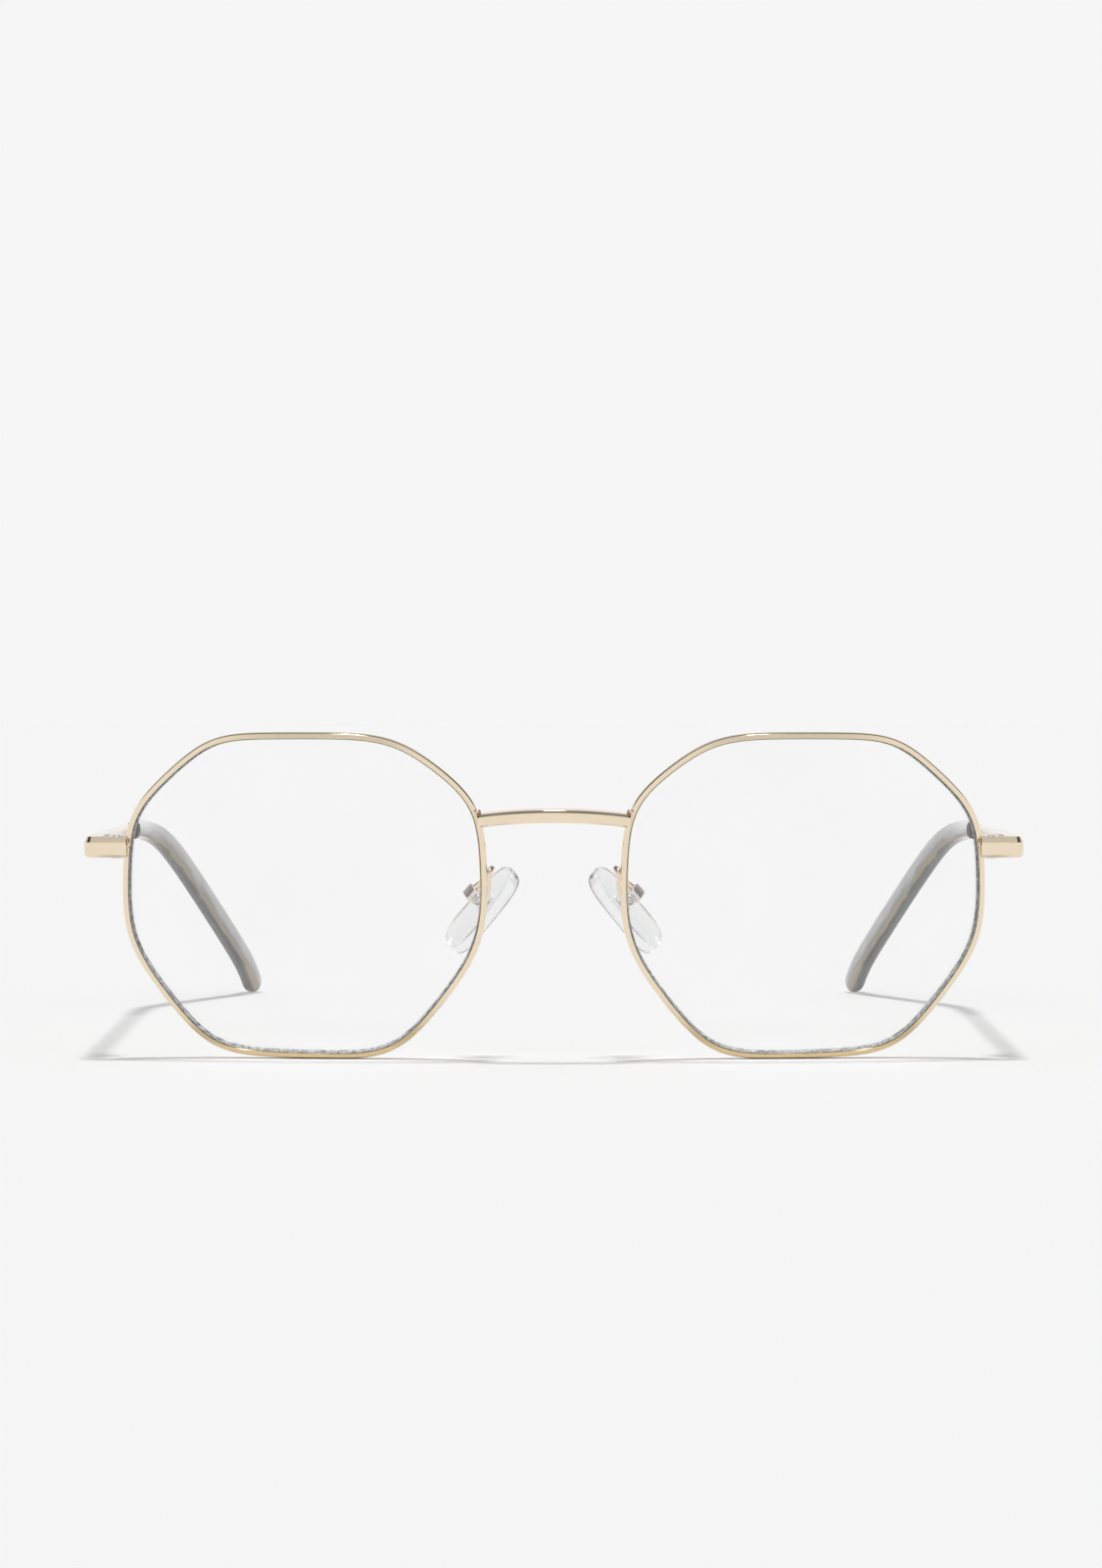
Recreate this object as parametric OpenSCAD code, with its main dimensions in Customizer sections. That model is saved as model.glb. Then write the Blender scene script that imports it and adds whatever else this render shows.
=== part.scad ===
// Metal eyeglasses with eight-sided lenses.
// They stand on the lower rims and the temple tips, with the front towards -Y.
// Left is the wearer's left, at +X. Every pair is one module, mirrored for the right.

/* [Lenses] */
// Width of one lens
lens_w = 51.3; // [46:0.1:56]
// Height of one lens
lens_h = 46.5; // [42:0.1:50]
// Gap between the two lenses
lens_gap = 19.7; // [17:0.1:22]
// Thickness of a lens
lens_t = 1.7; // [1.2:0.1:1.8]
// Radius that a lens is curved to
lens_curve_r = 130; // [100:1:200]

/* [Front] */
// Lean of the front, top forward, in degrees
front_tilt = 9.5; // [4:0.5:12]
// Turn of each lens round the face, in degrees
front_wrap = 4.4; // [0:0.2:6]
// Width of the rim wire, seen from the front
rim_w = 0.95; // [0.8:0.05:1.3]
// Depth of the rim wire
rim_depth = 2; // [1.9:0.1:2.4]
// Depth of the groove inside the rim wire
groove_d = 0.5; // [0.4:0.05:0.55]
// Gap at the rim's split
rim_split = 0.15; // [0.1:0.05:0.3]

/* [Bridge] */
// Height of the bridge bar
bridge_h = 1.8; // [1.4:0.1:2.4]
// Depth of the bridge bar
bridge_d = 1.9; // [1.4:0.1:2.6]
// Rise of the bridge's middle over its ends
bridge_rise = 0.95; // [0:0.05:3]
// How far the bridge's middle bows forward
bridge_bow = 1.2; // [0.2:0.1:3]

/* [End pieces] */
// Reach of an end piece, outwards from the middle of the rim wire
end_reach = 6.05; // [5.2:0.05:8]
// Height of an end piece, and of the temple there
end_h = 3; // [2.7:0.1:3.6]
// Thickness of an end piece, and of the temple there
end_t = 1.4; // [1.2:0.1:1.6]
// Length of the leg that turns back to the hinge
end_leg = 7.25; // [6.5:0.05:9]
// Radius of the outer corner
end_corner_r = 1.4; // [0.8:0.1:1.6]
// Height of the bevel along the upper outer edge
end_bevel_h = 0.85; // [0.3:0.05:1.2]
// Depth of that bevel
end_bevel_d = 0.4; // [0.2:0.05:0.4]

/* [Hinges] */
// Radius of the hinge barrel
barrel_r = 1.1; // [1:0.05:1.3]
// Radius of the hinge screw
hinge_screw_r = 0.7; // [0.5:0.05:0.75]
// Thickness of the hinge leaves
leaf_t = 0.5; // [0.4:0.05:0.7]
// Length of the front leaf, from the hinge screw
front_leaf_l = 3.6; // [3:0.1:4]
// Length of the temple leaf, from the hinge screw
temple_leaf_l = 6; // [4:0.1:9]

/* [Temples] */
// Distance from the hinge to the end of the tip, straight back
temple_reach = 132.1; // [122:0.1:145]
// Distance from the hinge to the bend behind the ear
temple_bend = 99.6; // [90:0.1:108]
// Distance from the hinge to where the tip starts to turn in
temple_turn = 94.2; // [86:0.1:102]
// How far the temple spreads out as far as there
temple_spread = 2.35; // [0:0.05:5]
// How far the tip turns in from there
tip_turn_in = 17.6; // [8:0.1:20]
// Thickness of the metal bar where it meets the sleeve
bar_t = 1.2; // [1:0.1:1.6]
// Height of the metal bar where it meets the sleeve
bar_h = 2.1; // [1.6:0.1:2.4]
// Radius of the core wire in the sleeve
core_r = 0.65; // [0.5:0.05:0.8]

/* [Temple tips] */
// Distance from the hinge to the front of the sleeve
sleeve_start = 77; // [70:1:82]
// Thickness of the sleeve at its mouth
sleeve_t = 2.4; // [2.2:0.1:3]
// Height of the sleeve at its mouth
sleeve_h = 3; // [2.8:0.1:3.4]
// Thickness of the sleeve behind the ear
tip_t = 3.4; // [2.6:0.1:4]
// Height of the sleeve behind the ear
tip_h = 3.6; // [3.2:0.1:4.6]

/* [Nose pads] */
// Length of a nose pad
pad_l = 14.2; // [12:0.1:16]
// Width of a nose pad
pad_w = 6.8; // [6:0.1:8]
// Thickness of a nose pad
pad_t = 2.3; // [2.1:0.1:2.8]
// Distance of a pad screw from the middle
pad_screw_x = 11.2; // [10.4:0.1:12]
// Distance of a pad screw behind the front
pad_screw_y = 7.3; // [6.6:0.1:8.4]
// Height of a pad screw over the middle of the lenses
pad_screw_z = -0.85; // [-2:0.05:-0.6]
// Lean of a nose pad, top inwards, in degrees
pad_lean = 40; // [30:1:44]
// Splay of a nose pad, rear outwards, in degrees
pad_splay = 24; // [20:1:34]
// Radius of a pad screw
pad_screw_r = 0.5; // [0.4:0.05:0.6]
// Radius of the wire of a pad arm
arm_r = 0.45; // [0.4:0.05:0.5]

/* [Hidden] */
$fn = 48;

gold = [0.87, 0.78, 0.62];
steel = [0.72, 0.72, 0.73];
clear = [0.86, 0.91, 0.93, 0.5];
horn = [0.5, 0.47, 0.42];

// Clearances: between what turns and what stands, in a screw hole, at a brazed face
run_gap = 0.1;
screw_fit = 0.04;
thread_fit = 0.02;
cut_over = 1;

// The left lens: the direction that each of its eight sides faces, in degrees from straight out,
// and the distance of each side from the middle, as a share
side_turns = [3, 48, 89, 126, 177, 219, 271, 322];
side_shares = [0.94, 0.84, 0.76, 1, 1.21, 1.25, 1.14, 1.05];
// The higher this power, the sharper the eight corners
corner_power = 13;
rim_steps = 116;
lens_steps = rim_steps / 2;

function total(list) = [for (v = list) 1] * list;
function unit(v) = v / norm(v);
function mix(a, b, t) = a + (b - a) * t;
function smooth(t) = let (c = min(1, max(0, t))) c * c * (3 - 2 * c);
function pull(turn, i) = max(0, cos(turn - side_turns[i]) / side_shares[i]);
// A rounded eight-sided figure: the power mean of the pulls of its sides
function figure_r(turn) = total([for (i = [0 : 7]) pow(pull(turn, i), corner_power)]) ^ (-1 / corner_power);
function figure(turn) = figure_r(turn) * [cos(turn), sin(turn)];

figure_points = [for (i = [0 : 359]) figure(i)];
figure_low = [min([for (p = figure_points) p.x]), min([for (p = figure_points) p.y])];
figure_high = [max([for (p = figure_points) p.x]), max([for (p = figure_points) p.y])];
figure_mid = (figure_low + figure_high) / 2;
figure_size = figure_high - figure_low;

// The outline of the left lens in its own plane, x outwards and y up
function outline(turn) =
    let (p = figure(turn) - figure_mid)
    [p.x / figure_size.x * lens_w, p.y / figure_size.y * lens_h];
turn_step = 0.5;
function outward(turn) =
    let (d = outline(turn + turn_step) - outline(turn - turn_step))
    [d.y, -d.x] / norm(d);

lens_x = (lens_w + lens_gap) / 2;

// A point of the left lens's curved front, or so far behind it, square to the curve. It is given in
// the frame of the front, where z runs up the front.
function on_front(p, back) =
    let (share = 1 - back / lens_curve_r)
    let (sag = lens_curve_r - share * sqrt(lens_curve_r ^ 2 - p.x ^ 2 - p.y ^ 2), q = share * p)
    [lens_x + q.x * cos(front_wrap) - sag * sin(front_wrap),
     q.x * sin(front_wrap) + sag * cos(front_wrap),
     q.y];
function leaned(p) =
    [p.x, p.y * cos(front_tilt) - p.z * sin(front_tilt), p.y * sin(front_tilt) + p.z * cos(front_tilt)];

// Joins closed loops of points, one after the other, into one solid. Its ends are fans from the first
// point of a loop. Its faces are turned to look outwards whichever way the loops run: the signed
// volume under them tells.
function turned(face) = [face[0], face[2], face[1]];
function under(points, face) = points[face[0]] * cross(points[face[1]], points[face[2]]);
module skin(loops) {
    n = len(loops[0]);
    m = len(loops);
    points = [for (l = loops) each l];
    sides = [
        for (i = [0 : m - 2]) for (j = [0 : n - 1])
            let (k = (j + 1) % n, a = i * n, b = a + n)
            each [[a + j, a + k, b + k], [a + j, b + k, b + j]]
    ];
    last = (m - 1) * n;
    ends = [for (j = [1 : n - 2]) each [[0, j + 1, j], [last, last + j, last + j + 1]]];
    faces = concat(sides, ends);
    inside_out = total([for (f = faces) under(points, f)]) > 0;
    polyhedron(points, inside_out ? [for (f = faces) turned(f)] : faces, convexity = 10);
}

// Sets what stands level beside the lenses at its height over the table
module stand() {
    translate([0, stand_y, stand_z]) children();
}
// Sets what is built in the frame of the front at its lean
module on_lean() {
    stand() rotate([front_tilt, 0, 0]) children();
}
module on_left() {
    children();
}
module on_right() {
    mirror([1, 0, 0]) children();
}

// The rim wire. Across: from the lens outwards. Back: from the front face.
rim_shares = [
    [-0.5, 0.13], [-0.3, 0], [0.26, 0], [0.5, 0.15], [0.5, 0.85], [0.26, 1], [-0.3, 1], [-0.5, 0.87]
];
groove_shares = [[-0.5, 0.78], [-0.5, 0.22]];
groove_place = 0.5;
wire_section = [for (q = rim_shares) [q.x * rim_w, q.y * rim_depth]];
rim_section = concat(
    [[groove_d - rim_w / 2, groove_place * rim_depth],
     [groove_shares[1].x * rim_w, groove_shares[1].y * rim_depth]],
    wire_section,
    [[groove_shares[0].x * rim_w, groove_shares[0].y * rim_depth]]
);

// Where on the rim, in degrees from straight out, the parts of the front sit
end_turn = 5.2;
bridge_turn = 166.8;
arm_turn = 186;

split_turn = rim_split / lens_w * 360 / PI;
function rim_turn(i) = end_turn + split_turn / 2 + i * (360 - split_turn) / rim_steps;
function rim_index(turn) = (turn - end_turn) / 360 * rim_steps;
function wire_loop(turn, section) =
    [for (q = section) on_front(outline(turn) + outward(turn) * q.x, q.y)];

module rim() {
    color(gold) on_lean() skin([for (i = [0 : rim_steps]) wire_loop(rim_turn(i), rim_section)]);
}
// A stretch of the rim wire without its groove, to seat a brazed part on
module rim_seat(turn, reach = 3) {
    first = floor(rim_index(turn)) - reach;
    skin([for (i = [first : first + 2 * reach + 1]) wire_loop(rim_turn(i), wire_section)]);
}
// The same across the rim's split, as one stretch
module split_seat(reach = 3) {
    for (from = [0, rim_steps - reach])
        skin([for (i = [from : from + reach]) wire_loop(rim_turn(i), wire_section)]);
}

// The lens: two curved faces and a bevel that stands in the groove, with corners where the rim has them
lens_fit = 0.03;
lens_clear = 0.06;
lens_ring_shares = [0.35, 0.7];
lens_front = rim_depth * groove_place - lens_t / 2;
bevel_foot_share = 0.24;
function lens_ring(share, back) =
    [for (i = [0 : lens_steps - 1])
        on_front(outline(rim_turn(2 * i)) * share, back)];
function lens_edge(out, back) =
    [for (i = [0 : lens_steps - 1])
        let (turn = rim_turn(2 * i))
        on_front(outline(turn) + outward(turn) * out, back)];
lens_edge_out = groove_d - rim_w / 2 - lens_fit;

module lens() {
    foot = -rim_w / 2 - lens_clear;
    color(clear) on_lean() skin(concat(
        [for (s = lens_ring_shares) lens_ring(s, lens_front)],
        [lens_edge(foot, lens_front),
         lens_edge(foot, lens_front + lens_t * bevel_foot_share),
         lens_edge(lens_edge_out, lens_front + lens_t / 2),
         lens_edge(foot, lens_front + lens_t * (1 - bevel_foot_share)),
         lens_edge(foot, lens_front + lens_t)],
        [for (i = [len(lens_ring_shares) - 1 : -1 : 0]) lens_ring(lens_ring_shares[i], lens_front + lens_t)]
    ));
}

// The bridge. Back: from the bar's middle. Up: the same.
bridge_shares = [
    [-0.5, -0.28], [-0.5, 0.28], [-0.28, 0.5], [0.4, 0.5], [0.5, 0.4], [0.5, -0.4], [0.4, -0.5], [-0.28, -0.5]
];
bridge_end = on_front(outline(bridge_turn), 0);
bridge_seat = 0.4;
bridge_over = 0.1;
bridge_half = bridge_end.x + bridge_over;
bridge_steps = 26;
bridge_y = bridge_end.y + bridge_seat - bridge_d / 2;
function bridge_loop(f) =
    let (along = unit([bridge_half, -2 * f * bridge_rise]), up = [-along.y, along.x])
    let (fall = 1 - f * f)
    [for (q = bridge_shares)
        [f * bridge_half + up.x * q.y * bridge_h,
         bridge_y - bridge_bow * fall + q.x * bridge_d,
         bridge_end.z + bridge_rise * fall + up.y * q.y * bridge_h]];

module bridge() {
    color(gold) on_lean() difference() {
        skin([for (i = [0 : bridge_steps]) bridge_loop(1 - 2 * i / bridge_steps)]);
        rim_seat(bridge_turn, 5);
        mirror([1, 0, 0]) rim_seat(bridge_turn, 5);
    }
}

// The end piece: a bar bent back in plan, whose height follows the lean of the front
end_proud = 0.6;
end_low_round = 0.4;
end_over = 0.05;
end_seat_gap = 0.1;
end_inner_r = 0.4;
end_step = 0.4;
end_root = leaned(on_front(outline(end_turn), 0));
// Its root lies over the front of the rim and ends beside it
end_in = leaned(on_front(outline(end_turn) - [end_over, 0], 0));
end_out = leaned(on_front(outline(end_turn) + [rim_w / 2, 0], 0));
end_y = end_root.y - end_proud;
end_z = end_root.z;
end_x = end_root.x + end_reach;
hinge_y = end_y + end_leg;
corner_steps = 8;

// Seen from above: points of the outer face, moved in by the inset, and of the inner face beside them
function end_outer(inset) = concat(
    [[end_in.x, end_y + inset],
     [end_out.x + end_step / 2, end_y + inset],
     [end_out.x + 2 * end_step, end_y + inset]],
    [for (i = [0 : corner_steps])
        [end_x - end_corner_r, end_y + end_corner_r]
        + (end_corner_r - inset) * [sin(90 * i / corner_steps), -cos(90 * i / corner_steps)]],
    [[end_x - inset, hinge_y - run_gap / 2]]
);
end_inner = concat(
    [[end_in.x, end_in.y - end_seat_gap],
     [end_out.x + end_seat_gap, end_out.y - end_seat_gap],
     [end_out.x + end_seat_gap, end_y + end_t]],
    [for (i = [0 : corner_steps])
        [end_x - end_t - end_inner_r, end_y + end_t + end_inner_r]
        + end_inner_r * [sin(90 * i / corner_steps), -cos(90 * i / corner_steps)]],
    [[end_x - end_t, hinge_y - run_gap / 2]]
);
end_rows = [
    [end_low_round, -end_h / 2],
    [0, end_low_round - end_h / 2],
    [0, end_h / 2 - end_bevel_h],
    [end_bevel_d, end_h / 2]
];
function end_point(p, up) = [p.x, p.y - up * tan(front_tilt), end_z + up];
function end_loop(i) = concat(
    [for (row = end_rows) end_point(end_outer(row.x)[i], row.y)],
    [end_point(end_inner[i], end_h / 2), end_point(end_inner[i], -end_h / 2)]
);

module endpiece() {
    color(gold) stand() skin([for (i = [0 : len(end_inner) - 1]) end_loop(i)]);
}

// The closing blocks stand on the rim's split ends, behind the end piece
block_w = 2.1;
block_d = 1.9;
block_h = 1.25;
closing_screw_r = 0.6;
closing_head_r = 0.95;
closing_head_h = 0.5;
slot_w = 0.3;
split_at = on_front(outline(end_turn), 0);
block_y = split_at.y + (end_t - end_proud) * cos(front_tilt);
block_end = split_at.x + rim_w / 2 + block_w;
closing_x = block_end - block_w / 2;
closing_y = block_y + block_d / 2;

module closing_block(low, high, front_gap, hole_r) {
    color(gold) on_lean() difference() {
        translate([split_at.x, block_y + front_gap, split_at.z + low])
            cube([block_end - split_at.x, block_d - front_gap, high - low]);
        split_seat();
        translate([closing_x, closing_y, split_at.z + low - cut_over])
            cylinder(r = hole_r, h = high - low + 2 * cut_over);
    }
}
module closing_block_upper() {
    closing_block(rim_split / 2, rim_split / 2 + block_h, 0, closing_screw_r + thread_fit);
}
module closing_block_lower() {
    closing_block(-rim_split / 2 - block_h, -rim_split / 2, run_gap, closing_screw_r + screw_fit);
}
module closing_screw() {
    low = split_at.z - rim_split / 2 - block_h;
    color(steel) on_lean() translate([closing_x, closing_y, low]) difference() {
        union() {
            cylinder(r = closing_screw_r, h = 2 * block_h + rim_split);
            translate([0, 0, -closing_head_h]) cylinder(r = closing_head_r, h = closing_head_h);
        }
        translate([-closing_head_r - cut_over, -slot_w / 2, -closing_head_h - cut_over])
            cube([2 * closing_head_r + 2 * cut_over, slot_w, cut_over + closing_head_h / 2]);
    }
}

// The hinge: three knuckles on a screw that leans with the front
knuckle_h = end_h / 3;
hinge_x = end_x - end_t - leaf_t - run_gap - barrel_r;
head_r = 0.95;
head_h = 0.4;
leaf_h = end_h - 2 * run_gap;
module at_hinge() {
    stand() translate([hinge_x, hinge_y, end_z]) rotate([front_tilt, 0, 0]) children();
}
// A leaf runs level, and its ends lean with the hinge screw
function leaf_corner(y, up) = [y - up * tan(front_tilt), up];
module leaf(from, to) {
    up = leaf_h / 2;
    corners = [leaf_corner(from, -up), leaf_corner(to, -up), leaf_corner(to, up), leaf_corner(from, up)];
    stand() translate([hinge_x + barrel_r + run_gap, hinge_y, end_z]) rotate([90, 0, 90])
        linear_extrude(leaf_t) polygon(corners);
}
module knuckle(low, high, way, hole_r) {
    reach = leaf_t / 2 + run_gap + barrel_r;
    difference() {
        union() {
            translate([0, 0, low]) cylinder(r = barrel_r, h = high - low);
            translate([0, way > 0 ? run_gap / 2 : -barrel_r, low])
                cube([reach, barrel_r - run_gap / 2, high - low]);
        }
        translate([0, 0, low - cut_over]) cylinder(r = hole_r, h = high - low + 2 * cut_over);
    }
}
module hinge_front() {
    color(gold) at_hinge() {
        difference() {
            knuckle(knuckle_h / 2 + run_gap / 2, end_h / 2, -1, hinge_screw_r + screw_fit);
            translate([0, 0, end_h / 2 - head_h]) cylinder(r = head_r + screw_fit, h = head_h + cut_over);
        }
        knuckle(-end_h / 2, -knuckle_h / 2 - run_gap / 2, -1, hinge_screw_r + thread_fit);
    }
    color(gold) leaf(-front_leaf_l, -run_gap);
}
module hinge_temple() {
    color(gold) at_hinge()
        knuckle(run_gap / 2 - knuckle_h / 2, knuckle_h / 2 - run_gap / 2, 1, hinge_screw_r + screw_fit);
    color(gold) leaf(run_gap, temple_leaf_l);
}
module hinge_screw() {
    color(steel) at_hinge() difference() {
        union() {
            translate([0, 0, -end_h / 2]) cylinder(r = hinge_screw_r, h = end_h);
            translate([0, 0, end_h / 2 - head_h]) cylinder(r = head_r, h = head_h);
        }
        translate([-head_r - cut_over, -slot_w / 2, end_h / 2 - head_h / 2])
            cube([2 * head_r + 2 * cut_over, slot_w, head_h + cut_over]);
    }
}

// The table is under the lowest point of the rims, and the origin midway between front and tips
stand_z = -min([for (i = [0 : rim_steps]) for (p = wire_loop(rim_turn(i), wire_section)) leaned(p).z]);
front_most = leaned([0, bridge_y - bridge_bow - bridge_d / 2, bridge_end.z + bridge_rise]).y;
stand_y = -(front_most + hinge_y + temple_reach) / 2;

// The temple's middle line runs level to the bend, then down to the table and inwards
bend_soft = 5.7;
turn_soft = 5.3;
// Near its end the tip turns straight back again
straight_l = 5;
straight_out = 1.5;
straight_soft = 3;
tip_rest_share = 0.15;
tip_rest = tip_h * tip_rest_share;
function ramp(q, soft) = (q + sqrt(q * q + soft * soft)) / 2;
function bent(y, from, soft) = ramp(y - from, soft) - ramp(-from, soft);
function bent_share(y, from, soft) = bent(y, from, soft) / bent(temple_reach, from, soft);
temple_drop = stand_z + end_z - tip_rest;
tip_turn = tip_turn_in + temple_spread * (temple_reach / temple_turn - 1);
function temple_at(y) =
    [end_x - end_t / 2 + temple_spread * y / temple_turn - tip_turn * bent_share(y, temple_turn, turn_soft)
         + straight_out * bent_share(y, temple_reach - straight_l, straight_soft),
     hinge_y + y,
     end_z - temple_drop * bent_share(y, temple_bend, bend_soft)];
way_step = 0.5;
function temple_way(y) = unit(temple_at(y + way_step) - temple_at(y - way_step));

// A loop round the middle line: half thickness a, half height b, and k from an oval to a box
function side_of(y) = let (w = temple_way(y)) unit([w.y, -w.x, 0]);
function up_of(y) = cross(side_of(y), temple_way(y));
function rounded(t, k) = [sign(cos(t)) * abs(cos(t)) ^ (2 / k), sign(sin(t)) * abs(sin(t)) ^ (2 / k)];
function around(y, a, b, k, n) =
    let (p = temple_at(y), s = side_of(y), u = up_of(y))
    [for (i = [0 : n - 1])
        let (q = rounded((i + 0.5) * 360 / n, k))
        p + s * q.x * a + u * q.y * b];

bar_sides = 12;
bar_k = 7;
core_k = 2;
core_short = 7;
core_end = temple_reach - core_short;
core_blend = 9;
function bar_half(y) =
    let (f = smooth(y / sleeve_start), g = smooth((y - sleeve_start) / core_blend))
    [mix(mix(end_t, bar_t, f) / 2, core_r, g),
     mix(mix(end_h, bar_h, f) / 2, core_r, g),
     mix(bar_k, core_k, g)];
function bar_loop(y, grow) =
    let (h = bar_half(y))
    around(y, h.x + grow, h.y + grow, h.z, bar_sides);
// The first loop lies along the hinge screw, so the butt of the bar opens cleanly
function butt_loop(y) =
    [for (p = bar_loop(y, 0))
        [p.x, hinge_y + y - (p.z - end_z) * tan(front_tilt), p.z]];
bar_rows = 14;
core_rows = 14;

module temple() {
    butt = run_gap / 2;
    first_row = 3;
    color(gold) stand() skin(concat(
        [butt_loop(butt), bar_loop(first_row, 0)],
        [for (i = [1 : bar_rows]) bar_loop(mix(first_row, sleeve_start, i / bar_rows), 0)],
        [for (i = [1 : core_rows]) bar_loop(mix(sleeve_start, core_end, i / core_rows), 0)]
    ));
}

// The sleeve swells behind the ear and ends in a round
sleeve_fit = 0.05;
sleeve_rows = 16;
sleeve_sides = 12;
sleeve_k = 2.4;
nose_shares = [[0.35, 0.94], [0.65, 0.78], [0.87, 0.52], [0.98, 0.2]];
mouth_round = 0.25;
swell_share = 0.5;
function sleeve_half(y) =
    let (f = smooth((y - sleeve_start) / (temple_reach - sleeve_start) / swell_share))
    [mix(sleeve_t, tip_t, f) / 2, mix(sleeve_h, tip_h, f) / 2];
sleeve_body = temple_reach - tip_h / 2;
function sleeve_loop(y, share) =
    let (h = sleeve_half(y))
    around(y, h.x * share, h.y * share, sleeve_k, sleeve_sides);
bore_over = 2;
bore_end = core_end + bore_over;

module temple_tip() {
    color(horn) stand() skin(concat(
        [for (i = [core_rows + 1 : -1 : 0])
            bar_loop(i > core_rows ? bore_end : mix(sleeve_start, core_end, i / core_rows), sleeve_fit)],
        [sleeve_loop(sleeve_start, 1 - mouth_round / sleeve_h * 2),
         sleeve_loop(sleeve_start + mouth_round, 1)],
        [for (i = [1 : sleeve_rows]) sleeve_loop(mix(sleeve_start, sleeve_body, i / sleeve_rows), 1)],
        [for (s = nose_shares) sleeve_loop(mix(sleeve_body, temple_reach, s.x), s.y)]
    ));
}

// A nose pad in its own frame: x towards the box, y along the screw, z along the pad
eye_r = 0.85;
pad_gap = 0.6;
pad_off = pad_t / 2 + eye_r + pad_gap;
pad_low = 1.05;
module at_pad() {
    on_lean() translate([pad_screw_x, pad_screw_y, pad_screw_z])
        rotate([0, -pad_lean, 0]) rotate([0, 0, -pad_splay]) children();
}
function turned_pad(p) =
    let (q = [p.x * cos(pad_splay) + p.y * sin(pad_splay), p.y * cos(pad_splay) - p.x * sin(pad_splay), p.z])
    [q.x * cos(pad_lean) - q.z * sin(pad_lean), q.y, q.x * sin(pad_lean) + q.z * cos(pad_lean)];

// Across the thickness, from the box side to the nose side, and the share of the outline there
pad_shares = [
    [0.44, 0.62], [0.5, 0.8], [0.38, 0.94], [0.12, 1],
    [-0.14, 0.97], [-0.32, 0.86], [-0.44, 0.66], [-0.5, 0.36]
];
pad_steps = 26;
pad_k = 3.4;
pad_taper = 0.1;
function pad_loop(q) =
    [for (i = [0 : pad_steps - 1])
        let (r = rounded(i * 360 / pad_steps, pad_k))
        [q.x * pad_t - pad_off,
         r.x * (1 - pad_taper * r.y) * pad_w / 2 * q.y,
         r.y * pad_l / 2 * (1 - (1 - q.y) * pad_w / pad_l) - pad_low]];

eye_t = 1.1;
ear_t = 0.5;
web_t = 0.5;
box_reach = eye_r + run_gap + web_t;
plate_l = 3;
plate_w = 2.2;
plate_t = 0.5;
stem_w = 1;
plate_x = -pad_off - plate_t / 2;

module insert_solid(grow) {
    translate([plate_x - grow, -plate_w / 2 - grow, -plate_l / 2 - grow])
        cube([plate_t + 2 * grow, plate_w + 2 * grow, plate_l + 2 * grow]);
    translate([plate_x, -eye_t / 2 - grow, -stem_w / 2 - grow])
        cube([-plate_x, eye_t + 2 * grow, stem_w + 2 * grow]);
}
module nose_pad() {
    color(clear) at_pad() difference() {
        skin([for (q = pad_shares) pad_loop(q)]);
        insert_solid(thread_fit);
    }
}
module pad_mount() {
    color(steel) at_pad() difference() {
        union() {
            insert_solid(0);
            rotate([90, 0, 0]) cylinder(r = eye_r, h = eye_t, center = true);
        }
        rotate([90, 0, 0]) cylinder(r = pad_screw_r + screw_fit, h = eye_t + 2 * cut_over, center = true);
    }
}
box_d = eye_t + 2 * run_gap + 2 * ear_t;
module pad_box() {
    color(gold) at_pad() difference() {
        union() {
            rotate([90, 0, 0]) cylinder(r = eye_r + run_gap, h = box_d, center = true);
            translate([0, -box_d / 2, -eye_r - run_gap]) cube([box_reach, box_d, 2 * (eye_r + run_gap)]);
        }
        translate([-eye_r - cut_over, -eye_t / 2 - run_gap, -eye_r - cut_over])
            cube([2 * eye_r + cut_over + run_gap, eye_t + 2 * run_gap, 2 * (eye_r + cut_over)]);
        rotate([90, 0, 0]) cylinder(r = pad_screw_r + thread_fit, h = box_d + 2 * cut_over, center = true);
    }
}
pad_head_r = 0.85;
pad_head_h = 0.4;
module pad_screw() {
    color(steel) at_pad() rotate([90, 0, 0]) difference() {
        union() {
            cylinder(r = pad_screw_r, h = box_d, center = true);
            translate([0, 0, box_d / 2]) cylinder(r = pad_head_r, h = pad_head_h);
        }
        translate([-pad_head_r - cut_over, -slot_w / 2, box_d / 2 + pad_head_h / 2])
            cube([2 * pad_head_r + 2 * cut_over, slot_w, pad_head_h + cut_over]);
    }
}

// The pad arm: up the rim's nose side, over in a bow, and down into the pad box
arm_foot_l = 3;
arm_foot_up = 0.2;
arm_rows = 18;
arm_sides = 8;
arm_out = 0.65;
arm_bow_in = 1.5;
arm_bow_up = 2;
arm_bow_back = 1.5;
arm_end_in = 1.6;
arm_end_up = 0.9;
arm_in = [box_reach - arm_r, 0, eye_r + run_gap];
arm_foot = on_front(outline(arm_turn) + outward(arm_turn) * arm_out, rim_depth);
arm_top = arm_foot + [0, 0, arm_foot_up + arm_foot_l / 2];
arm_low = arm_foot + [0, 0, arm_foot_up - arm_foot_l / 2];
arm_last = [pad_screw_x, pad_screw_y, pad_screw_z] + turned_pad(arm_in);
arm_pull = arm_last + [-arm_end_in, 0, arm_end_up];
arm_bow = arm_top + [-arm_bow_in, arm_bow_back, arm_bow_up];
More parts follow.
